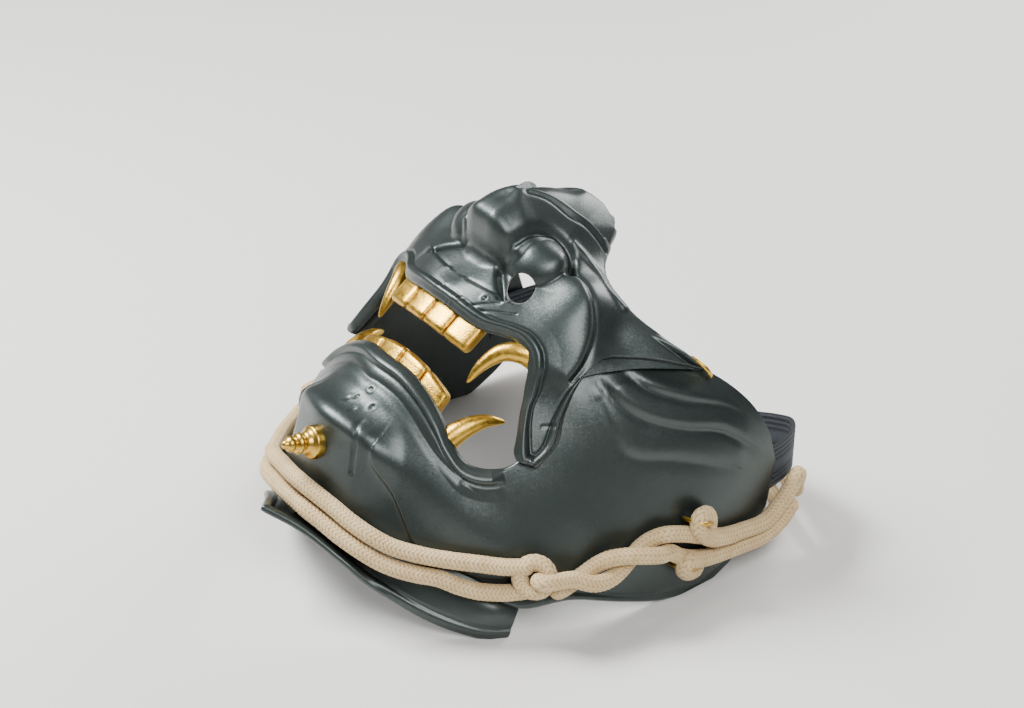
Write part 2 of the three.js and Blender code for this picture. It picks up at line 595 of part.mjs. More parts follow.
// Row of teeth: blocks side by side along an arc, with a groove between neighbours
function teethBody({ count, width, front, curve, high, low, drop, lean, root }) {
  const rings = [];
  const half = (count * width) / 2;
  for (let i = 0; i < count; i += 1) {
    for (const part of [0.02, 0.09, 0.5, 0.91, 0.98]) {
      const x = -half + (i + part) * width;
      const shrink = Math.abs(part - 0.5) > 0.45 ? TOOTH_GROOVE : 0;
      const f = front - curve * x * x - shrink;
      const [top, bottom] = [high, low].map((level) => level - drop * x * x);
      const tip = root > 0 ? bottom : top;
      const foot = root > 0 ? top : bottom;
      const away = Math.sign(tip - foot) * shrink;
      rings.push([
        place(x, f, foot + root),
        place(x, f, foot),
        place(x, f + lean, tip - Math.sign(tip - foot) * 1.2 - away),
        place(x, f + lean - 1.2, tip - away),
        place(x, f - TOOTH_DEPTH + 0.8 + shrink * 2, tip - away),
        place(x, f - TOOTH_DEPTH + shrink * 2, foot + root),
      ]);
    }
  }
  return closedBody(rings);
}
for (const [name, row] of Object.entries(TEETH)) {
  add(name, onPlates(teethBody(row)), 'gold');
}

// Mirrored pairs: every piece below is made for the left side and turned over for the right
function pair(name, make, look) {
  for (const [side, sign] of [['left', 1], ['right', -1]]) {
    const geometry = make(sign);
    add(`${name}_${side}`, geometry, look);
  }
}
for (const [name, fang] of Object.entries(FANGS)) {
  pair(name, (sign) => {
    const way = new THREE.CatmullRomCurve3(mirrored(fang.way, sign)).getPoints(8);
    const radius = (t) => Math.max(0.25, fang.radius * (1 - t ** 1.7));
    return onPlates(bar(way, radius, 7));
  }, 'gold');
}

// Turned peg on the chin, bedded on the prow
const pegProfile = PEG.map((row) => new THREE.Vector2(row.radius, row.along));
const chinFront = CHIN.tip - 2 * CHIN.side + CHIN.under * (PEG_LEVEL - CHIN.ridge);
const pegAxis = place(0, 1, -CHIN.under).normalize();
const pegTurn = new THREE.Quaternion().setFromUnitVectors(new THREE.Vector3(0, 1, 0), pegAxis);
const peg = new THREE.LatheGeometry(pegProfile, 12).applyQuaternion(pegTurn);
const pegFoot = place(0, chinFront, PEG_LEVEL);
add('chin_peg', onPlates(peg.translate(pegFoot.x, pegFoot.y, pegFoot.z)), 'brass');

// Brass wire bent to an arch over two points of the plate
function archWay({ from, to, rise, lean }, sign) {
  const [a, b] = mirrored([from, to], sign);
  const out = place(sign * lean[0], lean[1], lean[2]).normalize();
  return Array.from({ length: 9 }, (_, i) => {
    const [along, high] = [Math.cos((Math.PI * i) / 8), Math.sin((Math.PI * i) / 8)];
    const square = Math.sign(along) * Math.abs(along) ** ARCH_SQUARE;
    return a.clone().lerp(b, (1 - square) / 2).addScaledVector(out, rise * high ** ARCH_SQUARE);
  });
}
for (const [name, wire] of Object.entries(WIRES)) {
  pair(name, (sign) => onPlates(bar(archWay(wire, sign), () => WIRE / 2, 6)), 'brass');
}

// Routes of the cords: left half from the table, right half its mirror image
function wholeLoop(leftHalf) {
  const right = leftHalf.map((p) => new THREE.Vector3(-p.x, p.y, p.z)).reverse();
  const middle = Math.abs(leftHalf.at(-1).x) < 0.01 ? 1 : 0;
  return new THREE.CatmullRomCurve3([...leftHalf, ...right.slice(middle)]);
}
const resting = (points) => points.map((p) => mask.worldToLocal(new THREE.Vector3(...p)));
const onFace = (points) => mirrored(points, 1);

// The two back strands turn once about each other between the knot and the wire loops
function twisted(phase) {
  const middle = new THREE.CatmullRomCurve3(onFace(TWIST.way));
  return Array.from({ length: TWIST.steps + 1 }, (_, i) => {
    const t = i / TWIST.steps;
    const along = middle.getTangentAt(t);
    const out = place(...TWIST.out).projectOnPlane(along).normalize();
    const across = along.clone().cross(out);
    const turn = phase + TWIST.turns * 2 * Math.PI * t;
    return middle.getPointAt(t)
      .addScaledVector(out, -TWIST.radius * Math.sin(turn))
      .addScaledVector(across, TWIST.radius * Math.cos(turn));
  });
}
const routes = {
  chin_cord_upper: wholeLoop(onFace(CHIN_UPPER)),
  chin_cord_lower: wholeLoop(onFace(CHIN_LOWER)),
  back_cord_upper: wholeLoop([...twisted(Math.PI), ...onFace(BACK_UPPER), ...resting(HIDDEN_UPPER)]),
  back_cord_lower: wholeLoop([...twisted(0), ...onFace(BACK_LOWER), ...resting(HIDDEN_LOWER)]),
};
function cordBody(route, radius, step) {
  const section = new THREE.Shape();
  for (let i = 0; i < CORD_SIDES; i += 1) {
    const turn = (2 * Math.PI * i) / CORD_SIDES;
    section[i ? 'lineTo' : 'moveTo'](radius * Math.cos(turn), radius * Math.sin(turn));
  }
  section.closePath();
  const steps = Math.round(route.getLength() / step);
  return new THREE.ExtrudeGeometry(section, { steps, extrudePath: route, bevelEnabled: false });
}
let cordRoom = null;
for (const [name, route] of Object.entries(routes)) {
  const step = name.startsWith('chin') ? CORD * 1.6 : CORD * 1.25;
  add(name, cordBody(route, CORD / 2, step), 'cord');
  const room = solidOf(cordBody(route, CORD / 2 + GAP, step));
  cordRoom = cordRoom ? cordRoom.add(room) : room;
}

// Knots and hitches, each an egg-shaped lump that the strands run through
for (const [name, knot] of Object.entries(KNOTS)) {
  pair(name, (sign) => {
    const out = place(sign * knot.out[0], knot.out[1], knot.out[2]).normalize();
    const across = mirrored([knot.across], sign)[0].projectOnPlane(out).normalize();
    const turn = new THREE.Matrix4().makeBasis(out, across, out.clone().cross(across));
    const lump = new THREE.SphereGeometry(1, 9, 6).scale(...knot.half).applyMatrix4(turn);
    const [x, f, u] = knot.at;
    const centre = place(sign * x, f, u);
    lump.translate(centre.x, centre.y, centre.z);
    let body = solidOf(lump).subtract(cordRoom).subtract(jawRoom);
    for (const wire of [WIRES.cord_loop_upper, WIRES.cord_loop_lower]) {
      body = body.subtract(solidOf(bar(archWay(wire, sign), () => WIRE / 2 + GAP, 6)));
    }
    return geometryOf(body);
  }, 'cord');
}

// Elastic strap from the inside of one cheek round the back to the other
function strapBody() {
  const way = wholeLoop(resting(STRAP_WAY));
  const rings = Array.from({ length: 37 }, (_, i) => {
    const middle = way.getPointAt(i / 36);
    const up = new THREE.Vector3(0, 0, 1).transformDirection(mask.matrixWorld.clone().invert());
    const along = way.getTangentAt(i / 36);
    const wide = up.projectOnPlane(along).normalize();
    const thick = along.clone().cross(wide);
    return [[-1, -1], [1, -1], [1, 1], [-1, 1]].map(([a, b]) => middle.clone()
      .addScaledVector(wide, (a * STRAP_WIDTH) / 2)
      .addScaledVector(thick, (b * STRAP_THICK) / 2));
  });
  return closedBody(rings);
}
add('elastic_strap', onPlates(strapBody()), 'elastic');

export default mask;
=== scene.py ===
import math
import bpy
import numpy as np
from mathutils import Matrix


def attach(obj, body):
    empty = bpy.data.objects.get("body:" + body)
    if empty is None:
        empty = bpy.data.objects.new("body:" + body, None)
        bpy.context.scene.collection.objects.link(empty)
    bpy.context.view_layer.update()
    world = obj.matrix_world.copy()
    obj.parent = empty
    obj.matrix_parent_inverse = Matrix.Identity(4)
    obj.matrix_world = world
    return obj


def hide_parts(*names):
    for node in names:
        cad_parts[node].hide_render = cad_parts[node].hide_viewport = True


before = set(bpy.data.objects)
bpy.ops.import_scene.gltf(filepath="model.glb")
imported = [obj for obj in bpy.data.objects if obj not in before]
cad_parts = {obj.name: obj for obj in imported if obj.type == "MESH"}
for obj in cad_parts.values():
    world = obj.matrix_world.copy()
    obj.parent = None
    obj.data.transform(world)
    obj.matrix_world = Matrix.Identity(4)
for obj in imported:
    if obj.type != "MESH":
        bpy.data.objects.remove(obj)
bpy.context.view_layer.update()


def colour(text):
    """Linear colour of an sRGB hex code: ((c + 0.055) / 1.055) to the power 2.4, or c / 12.92 when dark."""
    parts = [int(text[i:i + 2], 16) / 255 for i in (0, 2, 4)]
    return [c / 12.92 if c < 0.04 else ((c + 0.055) / 1.055) ** 2.4 for c in parts] + [1]


def node(tree, kind, **sockets):
    """Adds a node; a socket given as another node's output is linked, anything else is its value."""
    made = tree.nodes.new(kind)
    for key, value in sockets.items():
        if key.startswith("_"):
            setattr(made, key[1:], value)
            continue
        name = key.replace("_", " ")
        socket = made.inputs[int(key[1:]) if key[0] == "i" and key[1:].isdigit() else name]
        if isinstance(value, bpy.types.NodeSocket):
            tree.links.new(value, socket)
        else:
            socket.default_value = value
    return made


def material(name):
    """New material with its shader and the object coordinates in millimetres."""
    made = bpy.data.materials.new(name)
    made.use_nodes = True
    tree = made.node_tree
    shader = tree.nodes["Principled BSDF"]
    where = node(tree, "ShaderNodeTexCoord").outputs["Object"]
    scaled = node(tree, "ShaderNodeVectorMath", _operation="SCALE", i0=where, Scale=1000.0)
    return made, tree, shader, scaled.outputs[0]


def two_tone(tree, share, low, high):
    """Mix of two colours: low where the share is 0, high where it is 1."""
    return node(tree, "ShaderNodeMix", _data_type="RGBA", i0=share, i6=low, i7=high)


def piece(name, points, faces, look):
    """Smooth mesh object from points in metres and faces of point numbers, with one material."""
    mesh = bpy.data.meshes.new(name)
    mesh.from_pydata(points.reshape(-1, 3).tolist(), [], faces)
    mesh.materials.append(look)
    mesh.polygons.foreach_set("use_smooth", np.full(len(mesh.polygons), True))
    mesh.update()
    made = bpy.data.objects.new(name, mesh)
    bpy.context.scene.collection.objects.link(made)
    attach(made, "root")
    return made


def rings_piece(name, rings, look):
    """Closed solid from rings of points in mm, a flat cap on both ends."""
    n, m = rings.shape[:2]
    i, j = np.meshgrid(np.arange(n - 1), np.arange(m), indexing="ij")
    k = (j + 1) % m
    quads = np.stack([i * m + j, i * m + k, (i + 1) * m + k, (i + 1) * m + j], -1).reshape(-1, 4)
    faces = quads.tolist() + [list(range(m))[::-1], [(n - 1) * m + q for q in range(m)]]
    return piece(name, rings / 1000, faces, look)


LEAN = math.radians(48)
FACE_SHIFT, FACE_DROP = 0.753, 20.3


def lay(face):
    """Resting place in metres of face points (side, forward, up) in mm: the face turned back 48 degrees.

    length = up * sin 48 - forward * cos 48 + 0.753 and height = forward * sin 48 + up * cos 48 - 20.3."""
    face = np.asarray(face, float)
    c, s = math.cos(LEAN), math.sin(LEAN)
    x, f, u = face[..., 0], face[..., 1], face[..., 2]
    return np.stack([x, s * u - c * f + FACE_SHIFT, s * f + c * u - FACE_DROP], -1) / 1000


def spline(points, count, even=True):
    """Points along a smooth curve through the given ones, by cubic pieces whose slope at each is that
    between its neighbours; even spaces them at equal distances."""
    p = np.asarray(points, float)
    t = np.r_[0, np.cumsum(np.linalg.norm(np.diff(p, axis=0), axis=1) ** 0.5)]
    m = np.gradient(p, t, axis=0)
    fine = np.linspace(0, t[-1], max(count, 20) * 4 if even else count)
    i = np.clip(np.searchsorted(t, fine, side="right") - 1, 0, len(t) - 2)
    h = (t[i + 1] - t[i])[:, None]
    w = (fine[:, None] - t[i][:, None]) / h
    curve = ((2 * w**3 - 3 * w**2 + 1) * p[i] + (w**3 - 2 * w**2 + w) * h * m[i]
             + (3 * w**2 - 2 * w**3) * p[i + 1] + (w**3 - w**2) * h * m[i + 1])
    if not even:
        return curve
    d = np.r_[0, np.cumsum(np.linalg.norm(np.diff(curve, axis=0), axis=1))]
    s = np.linspace(0, d[-1], count)
    return np.stack([np.interp(s, d, curve[:, k]) for k in range(3)], -1)


# Camera: at the photograph's place, to the left front of the face and about 30 degrees above the ground.
camera_data = bpy.data.cameras.new("camera")
camera_data.sensor_width = 36
camera_data.lens = 81.78
camera = bpy.data.objects.new("camera", camera_data)
bpy.context.scene.collection.objects.link(camera)
camera_right = np.array([0.578, 0.8155, 0.0139])
camera_back = np.array([0.7040, -0.5078, 0.4966])
camera_back /= np.linalg.norm(camera_back)
camera_up = np.cross(camera_back, camera_right)
camera_up /= np.linalg.norm(camera_up)
camera_right = np.cross(camera_up, camera_back)
camera_place = np.array([0.6062, -0.4147, 0.4948])
turned = np.eye(4)
turned[:3] = np.stack([camera_right, camera_up, camera_back, camera_place], 1)
camera.matrix_world = Matrix(turned.tolist())
bpy.context.scene.camera = camera

# Cords: beige braided cord 6 mm thick. Two strands run round the chin from knot to knot. Two more turn once
# about each other, pass the brass loops in the cheeks and go round the back, lying on the ground there.
CORD = 6.0
COLUMNS = 10
STITCH = 1.6


def tube(route, radius, around, step, relief):
    """Round tube along a route in mm with rounded ends, as (points, faces, relief height from 0 to 1).

    Plaits stand in columns round the cord. The stitch phase is distance / STITCH + slant * place across the
    column, with the slant one way in even columns and the other in odd ones, which makes a herringbone."""
    length = np.linalg.norm(np.diff(spline(route, 400), axis=0), axis=1).sum()
    count = int(length / step)
    way = spline(route, count)
    along = np.gradient(way, axis=0)
    along /= np.linalg.norm(along, axis=1)[:, None]
    side = np.zeros_like(way)
    first = np.cross(along[0], [0.3, 0.2, 1.0])
    side[0] = first / np.linalg.norm(first)
    for i in range(1, count):
        turned_side = side[i - 1] - along[i] * (side[i - 1] @ along[i])
        side[i] = turned_side / np.linalg.norm(turned_side)
    other = np.cross(along, side)
    s = np.linspace(0, length, count)[:, None]
    angle = np.linspace(0, 2 * math.pi, around, endpoint=False)[None]
    column = (COLUMNS * angle / (2 * math.pi)) % COLUMNS
    across = column % 1 - 0.5
    slant = np.where(np.floor(column) % 2 == 0, 1.0, -1.0)
    phase = (s / STITCH + slant * across * 0.9) % 1 - 0.5
    grain = np.sqrt(np.clip(1 - (2 * phase) ** 2, 0, 1)) * np.clip(1 - (1.7 * across) ** 2, 0, 1) ** 0.35
    ends = np.minimum(s, length - s)
    dome = np.sqrt(np.clip(1 - (1 - np.clip(ends / radius, 0.02, 1)) ** 2, 0, 1))
    r = (radius - relief + relief * grain) * dome
    points = way[:, None] + r[..., None] * (np.cos(angle)[..., None] * side[:, None]
                                            + np.sin(angle)[..., None] * other[:, None])
    i, j = np.meshgrid(np.arange(count - 1), np.arange(around), indexing="ij")
    k = (j + 1) % around
    corners = [i * around + j, i * around + k, (i + 1) * around + k, (i + 1) * around + j]
    quads = np.stack(corners, -1).reshape(-1, 4)
    faces = quads.tolist() + [list(range(around))[::-1], [(count - 1) * around + n for n in range(around)]]
    return points, faces, grain


# Colour of the cord: light and dark straw threads, with painted shade that darkens them between the plaits,
# and fine fibres
cord_look, tree, shader, mm = material("braided_cord")
grain_height = node(tree, "ShaderNodeAttribute", _attribute_name="grain").outputs["Fac"]
blotch = node(tree, "ShaderNodeTexNoise", Vector=mm, Scale=0.22, Detail=3.0)
thread = two_tone(tree, blotch.outputs["Fac"], colour("BC9C68"), colour("DCC498"))
# Painted shade: where the braid's relief is low, between the plaits, the thread colour turns dark brown
plait_shade_share = node(tree, "ShaderNodeMapRange", Value=grain_height, i1=0.0, i2=0.75, i3=0.0, i4=1.0)
shade = two_tone(tree, plait_shade_share.outputs[0], colour("4A3620"), thread.outputs[2])
fibre = node(tree, "ShaderNodeTexNoise", Vector=mm, Scale=5.0, Detail=2.0)
rough = node(tree, "ShaderNodeBump", Strength=0.35, Distance=0.00012, Height=fibre.outputs["Fac"])
tree.links.new(shade.outputs[2], shader.inputs["Base Color"])
tree.links.new(rough.outputs[0], shader.inputs["Normal"])
shader.inputs["Roughness"].default_value = 0.72
shader.inputs["Sheen Weight"].default_value = 0.25
shader.inputs["Sheen Tint"].default_value = colour("F0DCC0")


def cord_piece(name, route, relief=0.42, around=72, step=0.3):
    """Braided tube along a route in mm, with its grain height kept for the painted shade between the plaits.
    """
    points, faces, grain = tube(route, CORD / 2 + 0.12, around, step, relief)
    made = piece(name, points / 1000, faces, cord_look)
    heights = made.data.attributes.new("grain", "FLOAT", "POINT")
    heights.data.foreach_set("value", grain.ravel().astype(np.float32))
    return made


def whole(left):
    """Left half of a route followed by its mirror image."""
    left = np.asarray(left, float)
    return np.vstack([left, (left * [-1, 1, 1])[::-1][int(abs(left[-1, 0]) < 0.01):]])


chin_upper = [[73, 50.5, 18.8], [66, 55.1, 12.5], [60.9, 60.6, 8], [55.5, 65.7, 3.5],
              [49.7, 70.9, -0.8], [44.1, 75.2, -4.1], [39.2, 79.1, -6.4], [32.6, 84.7, -7.8],
              [25.3, 88.4, -8.3], [17.8, 91.8, -8.2], [10.4, 94.7, -8.3], [3.5, 96.9, -8.4]]
chin_lower = [[73.2, 44.4, 12], [67.3, 48.2, 5.3], [62.8, 54, 0.3], [58.5, 59.2, -2.6],
              [53.6, 64.6, -4.8], [48.7, 69, -8.2], [43.3, 73.2, -11.2], [37.6, 77.6, -13.2],
              [31, 82.6, -14.2], [23.7, 86.5, -14.7], [15.9, 89.9, -14.7], [9.3, 92.5, -14.9]]
twist_way = [[76.6, 42.3, 17.6], [79.2, 37.8, 22.3], [81.4, 32.7, 28.4], [83.1, 29.5, 35.4],
             [84.6, 25.9, 42.5], [85.7, 21.4, 49.4], [86.6, 17.3, 54.3]]
back_upper = [[86.3, 11.9, 61], [86.2, 4.6, 64], [86.2, -5, 69], [85.5, -13.5, 75.5], [85, -21.2, 83.5],
              [83.9, -23, 94], [82, -23.4, 104.6]]
back_lower = [[86.3, 7.5, 53.4], [86.6, 1, 56], [86.4, -8, 62], [85.8, -17, 70], [84.8, -26, 79],
              [83.8, -29.8, 87], [82.6, -30.8, 94]]
hidden_upper = [[77.5, 98, 24.5], [70, 105, 15.5], [57, 112.8, 10.5], [41, 119.8, 5.5],
                [20, 124.5, 3.2], [0, 126, 3.2]]
hidden_lower = [[76, 95.5, 12.5], [68, 101, 7.5], [56, 107.5, 4], [38, 113.5, 3.2], [19, 117, 3.2],
                [0, 118.3, 3.2]]


TWIST_RADIUS, TWIST_STEPS = 3.3, 13


def twisted(phase):
    """One of two strands that turn once about their common middle line, 3.3 mm from it."""
    middle = spline(twist_way, TWIST_STEPS)
    along = np.gradient(middle, axis=0)
    along /= np.linalg.norm(along, axis=1)[:, None]
    off_cheek = np.array([0.93, 0.35, 0.1])
    out = off_cheek - along * (along @ off_cheek)[:, None]
    out /= np.linalg.norm(out, axis=1)[:, None]
    across = np.cross(along, out)
    turn = phase + np.linspace(0, 2 * math.pi, TWIST_STEPS)[:, None]
    return middle + TWIST_RADIUS * (np.cos(turn) * across + np.sin(turn) * out)


def back_route(phase, shown, hidden, start):
    """Start, twisted stretch, shown stretch and the rest on the ground, all in resting mm, both halves."""
    face = np.vstack([start, twisted(phase)[2 if len(start) > 0 else 0:], shown])
    return whole(np.vstack([lay(face) * 1000, hidden]))


cord_routes = {
    "chin_cord_upper": lay(whole(chin_upper)) * 1000,
    "chin_cord_lower": lay(whole(chin_lower)) * 1000,
    "back_cord_upper": back_route(0.0, back_upper, hidden_upper, [[73.8, 48.1, 16.2], [78.6, 48.2, 16.3]]),
    "back_cord_lower": back_route(math.pi, back_lower, hidden_lower, np.empty((0, 3))),
}
for name, route in cord_routes.items():
    fine = (72, 0.3) if "chin" in name else (60, 0.4)
    cord_piece(name + "_braid", route, 0.42, *fine)
    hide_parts(name)

# Knots and hitches: short turns of the same cord. Each knot is a ring of cord laid over the ends of the chin
# strands, with the back strands coming out of it. Each hitch is a tight bight through its brass loop.
def ring_route(centre, out, up, radius, start, end, lift):
    """Arc about a centre on the face, from a start to an end angle in degrees, rising by lift on one
    side."""
    out = np.asarray(out, float) / np.linalg.norm(out)
    up = np.asarray(up, float) - out * (np.asarray(up, float) @ out)
    up /= np.linalg.norm(up)
    fore = np.cross(up, out)
    turn = np.radians(np.linspace(start, end, 40))[:, None]
    return (np.asarray(centre, float) + radius * (np.cos(turn) * fore + np.sin(turn) * up)
            + lift * np.cos(turn - math.pi) * out)


knots = {
    "knot": ring_route(centre=[73.6, 48, 16.2], out=[0.75, 0.62, -0.15], up=[-0.05, 0.67, 0.74], radius=5.1,
                       start=-165, end=240, lift=0.8),
    "hitch_upper": np.array([[86, 3, 66.5], [86.2, 6.5, 70], [87.4, 11.5, 71], [88.6, 14.4, 68.3],
                             [89.2, 12.6, 65.3],
                             [89, 7.5, 64.4], [88.3, 1.3, 65.5], [87, -5.3, 69], [86.2, -11, 73]]),
    "hitch_lower": np.array([[86, -0.5, 56.5], [86.4, -3.6, 53.6], [87.4, -0.6, 50.8], [88.8, 4.4, 50.8],
                             [89.4, 6, 53.6], [89, 0.6, 57], [87.4, -8, 62.8], [86.2, -14, 67.5]]),
}
with_cords = {"left": [], "right": []}
for name, route in knots.items():
    for side_name, sign in (("left", 1), ("right", -1)):
        turned_route = lay(route * [sign, 1, 1]) * 1000
        made = cord_piece(f"{name}_{side_name}_turn", turned_route, 0.38)
        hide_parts(f"{name}_{side_name}")
        with_cords[side_name].append(made)

# Black lacquer of all three plates: near-black with a green cast and full of fine bright metal flake, which
# is made by tilting the normal by a small amount in each cell of a fine pattern.
lacquer, tree, shader, mm = material("flake_lacquer")
flake = node(tree, "ShaderNodeTexVoronoi", Vector=mm, Scale=2.6, Randomness=1.0)
spread = node(tree, "ShaderNodeVectorMath", _operation="SUBTRACT", i0=flake.outputs["Color"],
              i1=(0.5, 0.5, 0.5))
tilt = node(tree, "ShaderNodeVectorMath", _operation="SCALE", i0=spread.outputs[0], Scale=0.11)
undulate = node(tree, "ShaderNodeTexNoise", Vector=mm, Scale=0.5, Detail=3.0)
orange_peel = node(tree, "ShaderNodeBump", Strength=0.12, Distance=0.0004, Height=undulate.outputs["Fac"])
tilted = node(tree, "ShaderNodeVectorMath", _operation="ADD", i0=orange_peel.outputs[0], i1=tilt.outputs[0])
normal = node(tree, "ShaderNodeVectorMath", _operation="NORMALIZE", i0=tilted.outputs[0])
tree.links.new(normal.outputs[0], shader.inputs["Normal"])
patch = node(tree, "ShaderNodeTexNoise", Vector=mm, Scale=0.035, Detail=4.0)
base = two_tone(tree, patch.outputs["Fac"], colour("323D3B"), colour("424846"))
tree.links.new(base.outputs[2], shader.inputs["Base Color"])
shader.inputs["Metallic"].default_value = 0.8
shader.inputs["Roughness"].default_value = 0.43
shader.inputs["Coat Weight"].default_value = 0.4
shader.inputs["Coat Roughness"].default_value = 0.3

# Jaw shell: lower face plate of 3 mm lacquered moulding, from the chin's prow round both cheeks. Its lower
# lip curls out to a rolled rim. Creases fan out over the cheeks from under the nose piece.
WALL = 3.0
CORE_FORWARD, CORE_UP = 20.0, 66.0
CORE = np.array([0, CORE_FORWARD, CORE_UP])
RIM_WIDTH, RIM_RISE, SHELF_WIDTH = 3.8, 1.3, 9.5
body_levels = np.array([  # level, depth forwards, half width
    [-25, 88, 73], [-9, 91, 76], [5, 96, 78], [17, 102, 80], [28, 101, 81], [40, 100, 82], [52, 98, 82],
    [64, 97, 82],
    [76, 97.5, 82], [90, 94, 81], [100, 87, 80], [110, 77, 79], [120, 66, 76], [140, 42, 68]], float)


def smooth_column(table, column):
    """Function of the first column that runs smoothly through the values of another."""
    xs, ys = table[:, 0], table[:, column]
    slopes = np.empty(len(xs))
    slopes[1:-1] = (ys[2:] - ys[:-2]) / (xs[2:] - xs[:-2])
    slopes[0], slopes[-1] = (ys[1] - ys[0]) / (xs[1] - xs[0]), (ys[-1] - ys[-2]) / (xs[-1] - xs[-2])

    def at(x):
        x = np.clip(x, xs[0], xs[-1])
        i = np.clip(np.searchsorted(xs, x, side="right") - 1, 0, len(xs) - 2)
        h = xs[i + 1] - xs[i]
        t = (x - xs[i]) / h
        return ((2 * t**3 - 3 * t**2 + 1) * ys[i] + (t**3 - 2 * t**2 + t) * h * slopes[i]
                + (3 * t**2 - 2 * t**3) * ys[i + 1] + (t**3 - t**2) * h * slopes[i + 1])
    return at


body_depth, body_half = smooth_column(body_levels, 1), smooth_column(body_levels, 2)


def barrel(p, grow):
    """Height over the plain shape of the face in mm: 85 * (((|side| / half)^1.75 + (|forward| /
    depth)^1.75) to the power 1 / 1.75, less 1)."""
    depth = np.where(p[..., 1] > 0, body_depth(p[..., 2]), 140.0) + grow
    half = body_half(p[..., 2]) + grow
    power = 1.75
    sides = (np.abs(p[..., 0]) / half) ** power + (np.abs(p[..., 1]) / depth) ** power
    return (sides ** (1 / power) - 1) * 85


def blend(a, b, k):
    """Lower of two heights, rounded over a width k where they meet."""
    h = np.clip(0.5 + 0.5 * (b - a) / k, 0, 1)
    return b + (a - b) * h - k * h * (1 - h)


CHIN_TIP, CHIN_LEVEL, CHIN_UNDER = 109.5, 17, 0.66


def prow(p):
    """Height over the chin: the lower of a sloping front and a sloping top, which meet in a ridge at
    level 17."""
    x, f, u = p[..., 0], p[..., 1], p[..., 2] - CHIN_LEVEL
    tip = CHIN_TIP - 0.33 * (np.sqrt(x * x + 50) - 5.2) - np.maximum(0, np.abs(x) - 18) ** 2 / 16
    return -blend(tip - f + CHIN_UNDER * u, tip - f - 0.85 * u, 5.0) * 0.8


def jaw_height(p):
    return blend(barrel(p, 0.0), prow(p), 3.0)


def reach(ways, height):
    """Distance from the core at which a height function crosses zero along each way, by halving."""
    nearest, farthest, halvings = 25.0, 170.0, 22
    near, far = np.full(ways.shape[:-1], nearest), np.full(ways.shape[:-1], farthest)
    for _ in range(halvings):
        middle = (near + far) / 2
        below = height(CORE + ways * middle[..., None]) < 0
        near, far = np.where(below, middle, near), np.where(below, far, middle)
    return (near + far) / 2


def off_line(points, line):
    """Distance of points from a smooth line, the side they lie on (left is 1 as seen from outside) and
    how far they lie past its ends. Line and points are compared as directions from the core, times a
    point's reach."""
    line = spline(line, 40) - CORE
    line /= np.linalg.norm(line, axis=1)[:, None]
    flat = points.reshape(-1, 3) - CORE
    far = np.linalg.norm(flat, axis=1)
    flat = flat / far[:, None]
    best = np.full(len(flat), 1e9)
    side, past = np.ones(len(flat)), np.zeros(len(flat))
    for i, (a, b) in enumerate(zip(line[:-1], line[1:])):
        d = b - a
        t = (flat - a) @ d / (d @ d)
        off = flat - a - np.clip(t, 0, 1)[:, None] * d
        gap = np.linalg.norm(off, axis=1) * far
        near = gap < best
        best = np.where(near, gap, best)
        side = np.where(near, np.sign(np.sum(np.cross(d, off) * flat, axis=1)), side)
        over = np.abs(t - np.clip(t, 0, 1)) * np.linalg.norm(d) * far if i in (0, len(line) - 2) else 0 * far
        past = np.where(near, over, past)
    shape = points.shape[:-1]
    return best.reshape(shape), side.reshape(shape), past.reshape(shape)


def hood(points, line, up, step, fade, width=1.3, cut=0.5):
    """Fold: the surface stands step higher on the up side of the line and dies away over fade."""
    gap, side, past = off_line(points, line)
    end = np.exp(-(past / 5) ** 2)
    rise = np.where(side * up > 0, step * (1 - np.exp(-gap / width)) * np.exp(-gap / fade) * 1.3, 0)
    return (rise - cut * np.exp(-(gap / width) ** 2)) * end


def line_mark(points, line, height, width):
    """Ridge or, with a negative height, groove along a line."""
    gap, _, past = off_line(points, line)
    return height * np.exp(-(gap / width) ** 2) * np.exp(-(past / 1.5) ** 2)


def mound(points, centre, radius, height):
    """Round swelling or hollow."""
    return height * np.exp(-(np.linalg.norm(points - centre, axis=-1) / radius) ** 2)


def pore(points, centre):
    """Small round pit with a raised edge, at the direction of its centre from the core."""
    flat, middle = points - CORE, np.asarray(centre, float) - CORE
    far = np.linalg.norm(flat, axis=-1)
    r = np.linalg.norm(flat / far[..., None] - middle / np.linalg.norm(middle), axis=-1) * far
    return -0.5 * np.exp(-(r / 0.7) ** 2) + 0.2 * np.exp(-((r - 1.2) / 0.5) ** 2)


def stations(rows, count):
    """Smooth line through the rows of an outline at even steps of row number, its slopes set by the
    square roots of the distances between rows."""
    rows = np.asarray(rows, float)
    rows = np.vstack([2 * rows[:1] - rows[1:2], rows, 2 * rows[-1:] - rows[-2:-1]])
    fine = np.linspace(0, len(rows) - 3, count)
    i = np.clip(fine.astype(int), 0, len(rows) - 4)
    w = (fine - i)[:, None]
    a, b, c, d = rows[i], rows[i + 1], rows[i + 2], rows[i + 3]
    ab, bc, cd = (np.linalg.norm(q - p, axis=1)[:, None] ** 0.5 for p, q in ((a, b), (b, c), (c, d)))
    start = ((b - a) / ab - (c - a) / (ab + bc) + (c - b) / bc) * bc
    stop = ((c - b) / bc - (d - b) / (bc + cd) + (d - c) / cd) * bc
    return ((2 * w**3 - 3 * w**2 + 1) * b + (w**3 - 2 * w**2 + w) * start
            + (3 * w**2 - 2 * w**3) * c + (w**3 - w**2) * stop)


